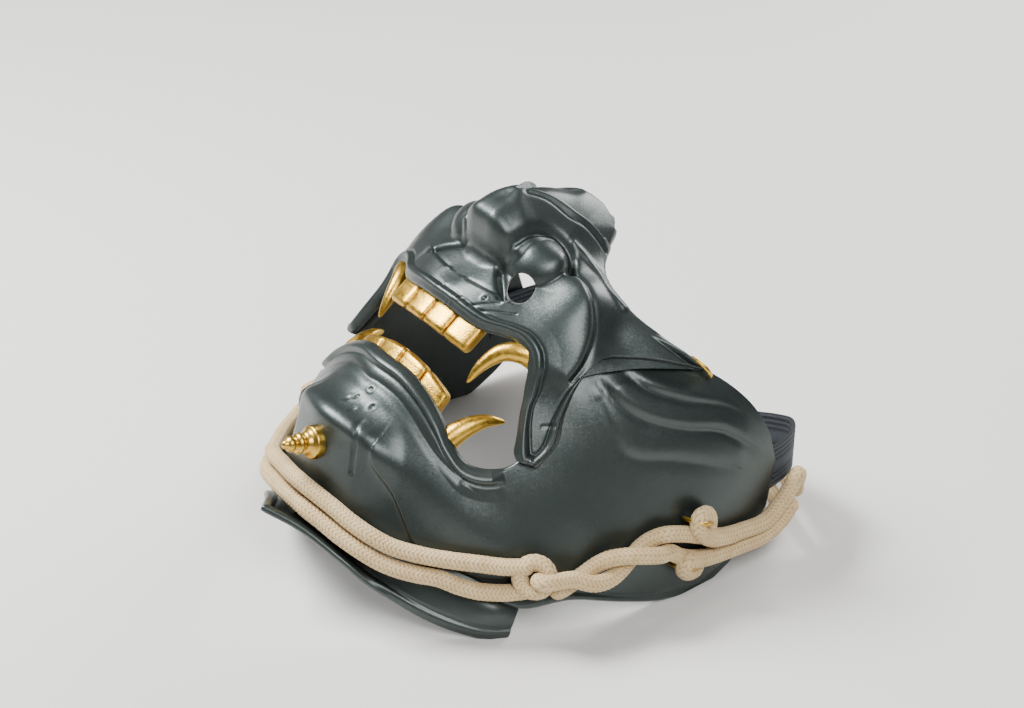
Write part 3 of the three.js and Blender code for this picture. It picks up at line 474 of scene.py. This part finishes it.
def shell(outer, inner, name, look):
    """Closed wall from outer points [station, height] and fewer inner ones, with rounded edges."""
    def edge(o, i, nearby):
        middle, half = (o + i) / 2, (o - i) / 2
        out = o - nearby
        out -= half * (np.sum(out * half, -1) / np.sum(half * half, -1))[..., None]
        out *= (np.linalg.norm(half, axis=-1) / np.maximum(np.linalg.norm(out, axis=-1), 1e-9))[..., None]
        turns = np.radians([36, 72, 108, 144])
        return np.stack([middle + half * math.cos(t) + out * math.sin(t) for t in turns], 1)
    top = edge(outer[:, -1], inner[:, -1], outer[:, -3])
    bottom = edge(outer[:, 0], inner[:, 0], outer[:, 2])[:, ::-1]
    ring = np.concatenate([outer, top, inner[:, ::-1], bottom], 1)
    n, m = ring.shape[:2]
    i, j = np.meshgrid(np.arange(n - 1), np.arange(m), indexing="ij")
    k = (j + 1) % m
    quads = np.stack([i * m + j, (i + 1) * m + j, (i + 1) * m + k, i * m + k], -1).reshape(-1, 4)
    faces = quads.tolist() + [list(range(m)), [(n - 1) * m + q for q in range(m)][::-1]]
    points = lay(ring)
    points[..., 2] = np.maximum(points[..., 2], 0)
    return piece(name, points, faces, look)


jaw_bottom = [[0, 91.5, -14], [13, 90, -14], [26, 85, -13.5], [39, 77, -11.5], [50, 67.5, -7],
              [60, 55, -1.5], [68.5, 38, 4.5], [75, 28, 17], [79.5, 10, 28.5], [81.5, -6, 38.5],
              [80.5, -20, 50], [79.5, -26, 70], [79, -26.5, 84]]
jaw_top = [[0, 99, 45], [12, 97.4, 45], [22, 93.8, 42.8], [31, 89.2, 38.7], [38, 84.5, 34],
           [45, 78.5, 31.6], [51, 72.3, 36], [54, 69, 45], [51, 74, 66], [53, 66, 94], [64.5, 41, 110],
           [74, 19, 112.8], [79, -11, 103]]
lip_end = 6.35
upper_creases = [[[56.5, 60, 92], [63, 51, 92], [69, 38.5, 97], [74, 25, 105], [76.5, 16.5, 108]],
                 [[54.5, 65, 84], [62.5, 55, 81.5], [69, 44, 84], [73.5, 32, 90], [76.5, 21, 97],
                  [79, 7, 100], [79.5, -8, 102]]]
soft_crease = [[58, 61, 78], [64, 53, 73], [69.5, 44, 70], [76, 28, 80], [80, 8, 90]]
chin_fold = [[23.6, 99.6, 16.6], [25.2, 97.2, 11.6], [30.2, 91.9, 7.2], [35.9, 84.2, 3.2],
             [41.6, 74.3, -0.4]]
lip_line = [[0, 100.2, 35.3], [5.8, 99.8, 35.8], [14.9, 97.5, 35.6], [22.9, 94.2, 33.6],
            [29.5, 90.6, 30.9], [36.3, 86, 28.4], [45.3, 78.1, 27.2]]
scar = [[13.4, 102.5, 21.2], [16.9, 103.9, 15.9], [17.6, 100.6, 11.8], [18.6, 95.7, 5.5]]
chin_pores = [[5.3, 100.1, 32.9], [3.1, 102.2, 27.2], [7.2, 104.3, 22.3], [10.7, 99.6, 28.1],
              [1.2, 104.8, 24]]


def fine_plate(low, high, tall, height, relief, rims):
    """Outer and inner points of half a plate: guide points between two outlines, pushed out onto the
    surface."""
    v = np.linspace(0, 1, tall)
    guide = low[:, None] * (1 - v)[None, :, None] + high[:, None] * v[None, :, None]
    ways = guide - CORE
    ways /= np.linalg.norm(ways, axis=-1, keepdims=True)
    far = reach(ways, height)
    plain = CORE + ways * far[..., None]
    length = np.linalg.norm(high - low, axis=-1)[:, None]
    end = np.linalg.norm(plain - plain[-1:], axis=-1)
    part = np.linspace(0, 1, len(low))[:, None]
    rim = rims(part, v[None] * length, (1 - v[None]) * length, end)
    soft, sharp = relief(plain)
    outer = plain + ways * (soft + sharp + rim)[..., None]
    inner = plain + ways * (soft - WALL)[..., None]
    return outer, inner


def bead(distance, width, rise):
    """Rounded rim beside an edge with a fine groove behind it, whose height is the sine of the way across
    it."""
    return (rise * np.sin(math.pi * np.clip(distance / width, 0, 1)) ** 0.8
            - 0.35 * np.exp(-((distance - width - 0.3) / 0.7) ** 2))


def both_sides(half, mark=None):
    """Left half and its mirror image in one row of stations; mark adds what only the left side has."""
    right = (half * [-1, 1, 1])[::-1]
    left = half if mark is None else mark(half)
    return np.concatenate([right, left[1:]], 0)


def jaw_relief(p):
    soft = mound(p, [60, 62, 62], 20, 1.5) + mound(p, [78, 0, 62], 24, 1.5) + mound(p, [37, 88, 12], 12, -1)
    cover, _, _ = off_line(p, jaw_top[7:])
    bare = np.clip((cover - 4) / 8, 0, 1)
    sharp = sum(hood(p, line, -1, 2.2, 9, 2.0, 0.6) for line in upper_creases) * bare
    sharp += hood(p, soft_crease, -1, 1.3, 10, 3.0, 0.2) * bare
    sharp += hood(p, lip_line, 1, 0.9, 6, 1.4, 0.4)
    sharp += hood(p, chin_fold, 1, -1.2, 14, 1.2, 0)
    return soft, sharp


def jaw_rims(s, from_low, from_high, from_end):
    lip = np.clip((lip_end / 12 - s) * 30, 0, 1)
    shelf = 1.8 * np.clip(1 - from_high / SHELF_WIDTH, 0, 1)
    rolled = bead(from_high, RIM_WIDTH, RIM_RISE) + shelf
    return rolled * lip + bead(from_low, 3, 0.5)


def jaw_marks(half):
    shift = sum(pore(half, centre) for centre in chin_pores) + line_mark(half, scar, -0.8, 0.7)
    out = half - CORE
    return half + out / np.linalg.norm(out, axis=-1, keepdims=True) * shift[..., None]


low, high = stations(jaw_bottom, 300), stations(jaw_top, 300)
outer, inner = fine_plate(low, high, 130, jaw_height, jaw_relief, jaw_rims)
jaw = shell(both_sides(outer, jaw_marks), both_sides(inner[:, ::5]), "jaw_plate", lacquer)
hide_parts("jaw_shell")

# Throat flange: plate of the same moulding that starts behind the chin, turns under its edge and flares out.
flange_lines = [[[0, 87, -9], [11, 85.5, -9], [23.5, 80.5, -8.5], [35.5, 73, -6.5], [46, 63, -2.5],
                 [56, 50.5, 2.5], [61.5, 42.5, 5.5], [64.5, 36, 8]], [[0, 88, -19.2],
                                                                      [8.8, 83.7, -18.9],
                                                                      [20.4, 77.3, -18.2],
                                                                      [32.7, 68.6, -17.2],
                                                                      [45.8, 61.2, -11.5],
                                                                      [57.9, 50.9, -4.9],
                                                                      [65, 44, -1.5], [68, 36.5, 1]],
                [[0, 101, -22.5], [11, 91.9, -20], [25.6, 80.5, -19.8], [36, 68.5, -20.7],
                 [47.5, 57.5, -19.6], [57.5, 47.5, -16.2], [65, 39, -11.4], [68.5, 33.5, -6.5]]]
flange_rows = np.stack([stations(line, 120) for line in flange_lines], 1)
flange_grid = np.stack([stations(row, 40) for row in flange_rows])
flow = np.gradient(flange_grid, axis=0)
rise = np.gradient(flange_grid, axis=1)
flange_normal = np.cross(flow, rise)
flange_normal /= np.linalg.norm(flange_normal, axis=-1, keepdims=True)
if flange_normal[5, 35, 1] < 0:
    flange_normal = -flange_normal
flare = np.linalg.norm(flange_rows[:, 2] - flange_rows[:, 1], axis=-1)
flange_edge = np.linspace(1, 0, 40)[None] * flare[:, None] * 2
flange_outer = flange_grid + flange_normal * (bead(flange_edge, 3, 0.5))[..., None]
FLANGE_WALL = 2.6
flange_inner = flange_grid - flange_normal * FLANGE_WALL
flange = shell(both_sides(flange_outer), both_sides(flange_inner[:, ::3]), "flange_plate", lacquer)
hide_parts("throat_flange")

# Nose piece: nose, bridge folds and upper lip in one lacquered plate that overlaps the jaw. Its rolled rim
# follows the lip, the long lobes at the corners of the mouth, and the lower edge up to the staples.
ridge_rows = np.array([  # forward, up, half width of the flat, slope beside it, its rounding
    [92, 88.5, 3, 1.3, 3], [94, 91.4, 3.5, 1.4, 4], [97.1, 96.3, 4, 1.5, 5], [100.8, 99.5, 4, 1.5, 6],
    [104.8, 103.8, 4, 1.5, 6], [106.2, 107, 3.8, 1.45, 7], [105.2, 110.8, 3.2, 1.35, 7],
    [102.3, 115.2, 2.2, 1.3, 8], [97.3, 120, 1.2, 1.3, 8], [90, 127, 0.6, 1.25, 8], [81, 132, 0.5, 1.3, 10],
    [68, 136, 0.5, 1.4, 12], [50, 138, 0.5, 1.43, 12]], float)
ridge_forward, ridge_up = ridge_rows[:, 0] - CORE_FORWARD, ridge_rows[:, 1] - CORE_UP
ridge_polar = np.column_stack([np.arctan2(ridge_up, ridge_forward), np.hypot(ridge_up, ridge_forward),
                               ridge_rows[:, 2:]])
ridge_reach, ridge_flat, ridge_slope, ridge_round = (smooth_column(ridge_polar, k) for k in (1, 2, 3, 4))
wing_centre, wing_radius = np.array([17, 83.4, 101.9]), 11.2


def nose_ridge(p):
    """Height over the nose: past its ridge line, plus the fall to the side, which is slope * (hypot(side,
    round) - round)."""
    forward, up = p[..., 1] - CORE_FORWARD, p[..., 2] - CORE_UP
    angle = np.arctan2(up, forward)
    side = np.maximum(0, np.abs(p[..., 0]) - ridge_flat(angle))
    soft = ridge_round(angle)
    fall = ridge_slope(angle) * (np.hypot(side, soft) - soft)
    below = np.maximum(0, ridge_polar[0, 0] - angle) * 60
    return np.hypot(up, forward) - ridge_reach(angle) + fall + below


def nose_height(p):
    wing = np.linalg.norm(np.abs(p) - wing_centre, axis=-1) - wing_radius
    return blend(blend(barrel(p, WALL + 0.3), nose_ridge(p), 5.0), wing, 0.8)


nose_low = [[0, 100.8, 74], [9, 99.6, 74], [17, 97, 73.7], [24, 94.4, 74.3], [31, 90.6, 77.2],
            [36, 87.2, 78.3], [41, 83.6, 76.3], [43.8, 81.4, 72.5]]
lobe_low = [[43.8, 81.4, 72.5], [45.2, 79.9, 68.2], [47, 78.3, 63.5], [48.4, 77.1, 59],
            [50.3, 75.5, 54.5], [52.2, 74, 50.5], [54, 72.5, 47], [56, 70.5, 44.6]]
nose_high = [[0, 54, 140.5], [13, 62, 134.5], [20, 65, 125], [25.4, 67, 118.6], [34, 67, 112.5],
             [44, 63, 110.8], [55.7, 53, 110.6], [68.5, 38, 110.8]]
lobe_high = [[68.5, 38, 110.8], [64.7, 45.7, 107], [58.2, 58.4, 99.7], [54.4, 66.5, 93],
             [54.5, 70.6, 80], [56.3, 69, 67], [59.1, 65.7, 56], [58.9, 67.1, 46.1]]
arch = [[22, 93.2, 86.2], [17.8, 93.5, 89.8], [12.6, 92.8, 93.5], [11.5, 95.9, 97.8],
        [12.9, 98.4, 101.4], [14.2, 98.6, 105], [14.4, 96, 109.4], [14.3, 91.5, 113.1],
        [15.2, 86.9, 115.2], [17.2, 83.8, 115.3], [19.7, 80.8, 114.4], [22.4, 78.8, 112.4],
        [29.9, 82, 107.3]]
bridge_folds = [[[0, 97.5, 120.6], [2.4, 93.5, 123.4], [5.4, 88.8, 125.4], [8.4, 83.6, 126.5],
                 [11.8, 78.4, 126.2], [14.3, 72.5, 126.1], [16.8, 66.7, 125.3]], [[0, 70, 136],
                                                                                  [4.2, 63.9, 136],
                                                                                  [8.6, 60.9, 134],
                                                                                  [12.2, 59.1, 131.3]]]
fold_under = [[3.2, 96.3, 120.7], [6.6, 90.5, 123.1], [9.8, 85.7, 123.5], [12.9, 80.8, 123.4],
              [15.2, 75.2, 123.9], [18, 69.1, 123.2], [20.4, 65.1, 122.2]]
cheek_lines = [[[25.8, 80.4, 108.4], [32.3, 77.4, 107], [39, 76.6, 104.5], [45.4, 74.7, 99.5],
                [48.9, 73.3, 95], [53, 72.7, 84], [53.3, 72.8, 78.2]], [[19.6, 78.3, 116.3],
                                                                        [23.3, 72.6, 115.2],
                                                                        [29.5, 69.7, 113.6],
                                                                        [36.8, 69.1, 111.2],
                                                                        [44, 64.4, 109.8]]]
nose_base = [[6.5, 96.9, 84.3], [11.7, 96.5, 84.9], [16.2, 95.5, 85.5], [20.2, 94, 86.2], [22.9, 92.7, 86.6]]
lip_pores = [[0.8, 100.6, 77], [11.2, 99, 77], [-2.2, 99.8, 81.4], [18, 96, 82.1], [8.6, 99.8, 73.3],
             [-11, 99.2, 76.2]]
scratches = [[[15.8, 97.6, 76.7], [23.1, 93.3, 84.2]], [[19.8, 96.1, 77.4], [29.2, 90.2, 84.2]],
             [[54.2, 71.3, 58.9], [56.6, 68.3, 62.2]]]


def nose_relief(p):
    soft = (mound(p, [44, 80, 90], 13, 3) + mound(p, [49, 64, 98], 9, -2.5) + mound(p, [0, 95, 88], 10, -2.5)
            + mound(p, [37, 76, 104], 12, 5.5))
    sharp = line_mark(p, arch, -2.6, 1.6)
    sharp += sum(hood(p, line, 1, 2.6, 14, 0.5, 1.2) for line in bridge_folds)
    sharp += line_mark(p, fold_under, -1.3, 0.9) + line_mark(p, bridge_folds[0], 0.5, 0.8)
    sharp += hood(p, cheek_lines[0], 1, 2.2, 8, 1.3, 0.6)
    sharp += line_mark(p, cheek_lines[1], 0.8, 1.4)
    sharp += hood(p, nose_base, 1, 0.9, 5, 0.8, 0.3)
    return soft, sharp


def nose_rims(s, from_low, from_high, from_end):
    lobe = np.clip((s - 0.5) * 20, 0, 1)
    edge = np.minimum(from_low, np.minimum(np.where(s > 0.5, from_high, 99), from_end))
    rise = np.where((from_high < from_low) & (s > 0.5), 2.1, RIM_RISE)
    rolled = bead(edge, RIM_WIDTH, rise) * np.where(from_low < from_high, 1, lobe)
    return rolled + 0.8 * np.clip(1 - from_low / SHELF_WIDTH, 0, 1)


def nose_marks(half):
    shift = sum(pore(half, centre) for centre in lip_pores)
    shift = shift + sum(line_mark(half, line, -0.35, 0.45) for line in scratches)
    out = half - CORE
    return half + out / np.linalg.norm(out, axis=-1, keepdims=True) * shift[..., None]


low = np.vstack([stations(nose_low, 165), stations(lobe_low, 115)[1:]])
high = np.vstack([stations(nose_high, 165), stations(lobe_high, 115)[1:]])
outer, inner = fine_plate(low, high, 140, nose_height, nose_relief, nose_rims)
nose_plate = shell(both_sides(outer, nose_marks), both_sides(inner[:, ::5]), "nose_plate", lacquer)
nostril_way = [[28, 96, 90.5], [22.6, 90, 93], [14, 77, 98]]
for sign in (1, -1):
    turn = np.linspace(0, 2 * math.pi, 48, endpoint=False)
    middle = spline(np.array(nostril_way) * [sign, 1, 1], 12)
    ring = np.outer(np.cos(turn), [6.4 * sign, 0, 0]) + np.outer(np.sin(turn), [0, 1.6, 5.2])
    rings = lay(middle[:, None] + ring[None]) * 1000
    cutter = rings_piece("nostril_cutter", rings[:, ::-1], lacquer)
    hole = nose_plate.modifiers.new("nostril", "BOOLEAN")
    hole.operation, hole.solver, hole.object = "DIFFERENCE", "EXACT", cutter
    bpy.context.view_layer.update()
    cut = nose_plate.evaluated_get(bpy.context.evaluated_depsgraph_get())
    cut_mesh = bpy.data.meshes.new_from_object(cut)
    nose_plate.modifiers.clear()
    nose_plate.data = cut_mesh
    bpy.data.objects.remove(cutter)
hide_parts("nose_piece")

# Teeth and fangs: gilded metal. Four broad teeth stand above and four below, each a block with rounded
# edges and a dark seam beside it; a curved fang stands at each end of both rows.
gold, tree, shader, mm = material("gilded_metal")
wear = node(tree, "ShaderNodeTexNoise", Vector=mm, Scale=0.4, Detail=4.0)
tone = two_tone(tree, wear.outputs["Fac"], colour("B98A2C"), colour("E2BC55"))
tree.links.new(tone.outputs[2], shader.inputs["Base Color"])
dent = node(tree, "ShaderNodeTexNoise", Vector=mm, Scale=1.3, Detail=3.0)
uneven = node(tree, "ShaderNodeBump", Strength=0.3, Distance=0.0004, Height=dent.outputs["Fac"])
tree.links.new(uneven.outputs[0], shader.inputs["Normal"])
matt = node(tree, "ShaderNodeMapRange", Value=wear.outputs["Fac"], i1=0.3, i2=0.7, i3=0.26, i4=0.42)
tree.links.new(matt.outputs[0], shader.inputs["Roughness"])
shader.inputs["Metallic"].default_value = 1.0


def joined(pieces, name):
    """One object from several closed pieces of one material."""
    first = pieces[0]
    chosen = {"active_object": first, "selected_editable_objects": pieces, "selected_objects": pieces}
    with bpy.context.temp_override(**chosen):
        bpy.ops.object.join()
    first.name = first.data.name = name
    return first


TOOTH_DEPTH, TOOTH_SEAM, TOOTH_SHOULDER = 5.0, 0.12, 0.78
tooth_rows = {  # width, front at the middle, fall to the sides, gum level, tip level, its drop, lean, root
    "upper_teeth": (11.8, 97, 0.0062, 70.5, 63, 0.0005, 1.0, 5),
    "lower_teeth": (13, 94, 0.007, 46.5, 52, 0.0065, 0.3, -4),
}
for name, (width, front, curve, gum, tip, drop, lean, root) in tooth_rows.items():
    teeth = []
    for number in range(4):
        middle = (number - 1.5) * width
        tangent = np.array([1, -2 * curve * middle])
        tangent /= np.linalg.norm(tangent)
        outward = np.array([-tangent[1], tangent[0]])
        angle = np.linspace(0, 2 * math.pi, 64, endpoint=False)
        wide = np.sign(np.cos(angle)) * np.abs(np.cos(angle)) ** 0.3
        deep = np.sign(np.sin(angle)) * np.abs(np.sin(angle)) ** 0.3
        rounding = 0.22 * np.sin(np.linspace(0.12, 1, 12) * math.pi / 2)
        t = np.r_[np.linspace(0, TOOTH_SHOULDER, 10), TOOTH_SHOULDER + rounding]
        past_shoulder = (t - TOOTH_SHOULDER) / 0.2205
        shrink = np.where(t > TOOTH_SHOULDER, np.sqrt(np.clip(1 - past_shoulder ** 2, 0, 1)), 1)
        rings = []
        for where, size in zip(t, shrink):
            x_size = width / 2 - TOOTH_SEAM - 1.3 * (1 - size)
            y_size = TOOTH_DEPTH / 2 - 1.5 * (1 - size)
            bulge = 0.5 * np.cos(wide * math.pi / 2) * size
            off = np.outer(wide * x_size, tangent) + np.outer(deep * y_size + bulge * (deep > 0), outward)
            x = middle + off[:, 0]
            f = front - TOOTH_DEPTH / 2 - curve * middle ** 2 + off[:, 1] + lean * where
            level = gum + root + (tip - gum - root) * where - drop * x * x
            rings.append(np.stack([x, f, level], -1))
        rings = np.array(rings)
        if root > 0:
            rings = rings[:, ::-1]
        teeth.append(rings_piece(f"{name}_{number}", lay(rings) * 1000, gold))
    row = joined(teeth, name + "_gilded")
    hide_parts(name)

fangs = {  # radius at the root and the middle line from root to point
    "upper_fang": (4.3, [[41, 79, 76], [37.5, 84, 75], [33, 87.5, 71], [30, 88.8, 63.5], [28.5, 88, 55]]),
    "lower_fang": (4.6, [[33, 83.5, 33], [35, 82, 41], [37, 78, 48], [39.5, 72, 52.5]]),
}


def sweep(route, radii, around):
    """Rings of points about a smooth route in mm, one radius to a ring."""
    way = spline(route, len(radii))
    along = np.gradient(way, axis=0)
    along /= np.linalg.norm(along, axis=1)[:, None]
    side = np.cross(along, [0.2, 0.3, 1.0])
    side /= np.linalg.norm(side, axis=1)[:, None]
    other = np.cross(along, side)
    angle = np.linspace(0, 2 * math.pi, around, endpoint=False)
    return (way[:, None] + radii[:, None, None] * (np.cos(angle)[None, :, None] * side[:, None]
                                                    + np.sin(angle)[None, :, None] * other[:, None]))


for name, (radius, route) in fangs.items():
    for side_name, sign in (("left", 1), ("right", -1)):
        t = np.linspace(0, 1, 60)
        radii = radius * np.sqrt(np.clip(1 - t ** 2, 0.004, 1)) * (1 - 0.35 * t)
        fang_route = lay(np.array(route) * [sign, 1, 1]) * 1000
        fang = rings_piece(f"{name}_{side_name}_gilded", sweep(fang_route, radii, 40), gold)
        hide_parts(f"{name}_{side_name}")

# Brass: a turned drain peg under the chin, and bent wires 1.6 mm thick, two staples that hold the nose
# piece and two loops for the cords on each cheek.
brass, tree, shader, mm = material("brass")
stain = node(tree, "ShaderNodeTexNoise", Vector=mm, Scale=0.8, Detail=4.0)
tone = two_tone(tree, stain.outputs["Fac"], colour("B08430"), colour("E0BC5C"))
tree.links.new(tone.outputs[2], shader.inputs["Base Color"])
shader.inputs["Metallic"].default_value = 1.0
shader.inputs["Roughness"].default_value = 0.32
PEG_LEVEL = 5.5
PEG_SINK = 0.6
peg_foot = np.array([0, CHIN_TIP - PEG_SINK + CHIN_UNDER * (PEG_LEVEL - CHIN_LEVEL), PEG_LEVEL])
peg_along = np.array([0, 1, -CHIN_UNDER]) / math.hypot(1, CHIN_UNDER)
peg_profile = [[0.05, -1.6], [5.7, -1.6], [6.0, -1.2], [6.1, 0.9], [5.9, 2], [4.6, 3], [3.6, 4.6],
               [2.6, 5.2], [3.4, 5.8], [3.9, 6.8], [3.3, 7.9], [2.2, 8.6], [2.7, 9.2], [2.9, 10],
               [2.6, 11], [1.9, 11.8], [1.2, 13], [0.05, 13.8]]
profile = spline(np.column_stack([peg_profile, np.zeros(len(peg_profile))]), 120)[:, :2]
angle = np.linspace(0, 2 * math.pi, 48, endpoint=False)
peg_side, peg_other = np.array([1.0, 0, 0]), np.cross(peg_along, [1.0, 0, 0])
peg_rings = (peg_foot + profile[:, None, 1:] * peg_along + np.abs(profile[:, None, :1])
             * (np.cos(angle)[None, :, None] * peg_side + np.sin(angle)[None, :, None] * peg_other))
peg = rings_piece("chin_peg_turned", lay(peg_rings) * 1000, brass)
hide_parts("chin_peg")

WIRE = 1.6
arches = {  # feet, rise and the way it leans
    "cheek_staple": ([64.5, 43.5, 111], [70, 35.5, 110], 2.6, [0.9, 0.3, 0.25]),
    "cord_loop_upper": ([83, 14.8, 65], [83.6, 1.9, 70.6], 10, [0.85, 0.53, 0]),
    "cord_loop_lower": ([82.6, 5.1, 49.2], [83.2, -7.2, 54.9], 9.6, [0.85, 0.53, 0]),
}
for name, (start, stop, height, lean_way) in arches.items():
    for side_name, sign in (("left", 1), ("right", -1)):
        t = np.linspace(0, 1, 40)[:, None]
        lean_way = np.asarray(lean_way, float) / np.linalg.norm(lean_way)
        arch_line = (np.array(start) * (1 - t) + np.array(stop) * t
                     + lean_way * height * np.sin(math.pi * t) ** 0.7) * [sign, 1, 1]
        wire_rings = sweep(lay(arch_line) * 1000, np.full(90, WIRE / 2), 20)
        wire = rings_piece(f"{name}_{side_name}_wire", wire_rings, brass)
        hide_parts(f"{name}_{side_name}")

# Elastic strap: dark ribbed webbing 18 mm wide and 1.6 mm thick, fixed inside both cheeks and lying behind.
elastic, tree, shader, mm = material("ribbed_elastic")
rib = node(tree, "ShaderNodeAttribute", _attribute_name="rib").outputs["Fac"]
web = node(tree, "ShaderNodeTexNoise", Vector=mm, Scale=3.0, Detail=2.0)
# Painted shade and highlight: the webbing is darkest in the grooves between its ribs and lighter on their
# crests, following the rib height
tone = two_tone(tree, rib, colour("15171B"), colour("3E434B"))
tree.links.new(tone.outputs[2], shader.inputs["Base Color"])
fuzz = node(tree, "ShaderNodeBump", Strength=0.4, Distance=0.0002, Height=web.outputs["Fac"])
tree.links.new(fuzz.outputs[0], shader.inputs["Normal"])
shader.inputs["Roughness"].default_value = 0.8
STRAP_WIDTH, STRAP_THICK, RIBS = 18.0, 1.6, 9
strap_way = whole([[75.6, 65.8, 34], [75.7, 77.8, 34], [75, 88.8, 34.5], [71.5, 98.8, 34.5],
                   [64, 106.8, 32.5], [51, 111.8, 26.5], [34, 112.8, 19.5], [15, 112.3, 12.5],
                   [0, 111.8, 9.8]])
strap_line = spline(strap_way, 560)
along = np.gradient(strap_line, axis=0)
along /= np.linalg.norm(along, axis=1)[:, None]
wide = np.array([0, 0, 1.0]) - along * along[:, 2:]
wide /= np.linalg.norm(wide, axis=1)[:, None]
thick = np.cross(along, wide)
turn = np.linspace(0, 2 * math.pi, 160, endpoint=False)
across = np.sign(np.cos(turn)) * np.abs(np.cos(turn)) ** 0.5
face_side = np.sign(np.sin(turn)) * np.abs(np.sin(turn)) ** 0.12
rib_height = 0.5 + 0.5 * np.cos(across * RIBS * math.pi)
depth = face_side * (STRAP_THICK / 2 - 0.25 + 0.25 * rib_height)
rings = (strap_line[:, None] + (across * STRAP_WIDTH / 2)[None, :, None] * wide[:, None]
         + depth[None, :, None] * thick[:, None])
strap = rings_piece("elastic_band", rings, elastic)
# Rib heights kept for the painted shade and highlight of the webbing
strap.data.attributes.new("rib", "FLOAT", "POINT").data.foreach_set(
    "value", np.tile(rib_height, len(strap_line)).astype(np.float32))
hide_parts("elastic_strap")

# Floor and light: a plain pale floor, a soft key from above the nose and weaker fill from both sides.
floor_look, tree, shader, mm = material("floor")
shader.inputs["Base Color"].default_value = colour("D9D8D5")
shader.inputs["Roughness"].default_value = 0.8
mesh = bpy.data.meshes.new("floor")
mesh.from_pydata([(-3, -3, 0), (3, -3, 0), (3, 3, 0), (-3, 3, 0)], [], [(0, 1, 2, 3)])
mesh.materials.append(floor_look)
floor = bpy.data.objects.new("floor", mesh)
bpy.context.scene.collection.objects.link(floor)


def area_light(name, place, target, size, power):
    """Square light that faces a target."""
    data = bpy.data.lights.new(name, "AREA")
    data.size, data.energy = size, power
    made = bpy.data.objects.new(name, data)
    back = np.asarray(place, float) - np.asarray(target, float)
    back /= np.linalg.norm(back)
    side = np.cross([0, 0, 1], back)
    side /= np.linalg.norm(side)
    turn = np.eye(4)
    turn[:3] = np.stack([side, np.cross(back, side), back, place], 1)
    made.matrix_world = Matrix(turn.tolist())
    bpy.context.scene.collection.objects.link(made)


area_light("key", (-0.5, -0.35, 0.85), (0, 0, 0.07), 0.4, 26)
area_light("fill", (0.75, -0.2, 0.9), (0, 0, 0.05), 0.55, 13)
area_light("rim", (-0.2, 0.9, 0.5), (0, 0, 0.06), 0.5, 9)
world = bpy.data.worlds.new("world")
world.use_nodes = True
world.node_tree.nodes["Background"].inputs["Color"].default_value = colour("C8CDD2")
world.node_tree.nodes["Background"].inputs["Strength"].default_value = 0.18
bpy.context.scene.world = world
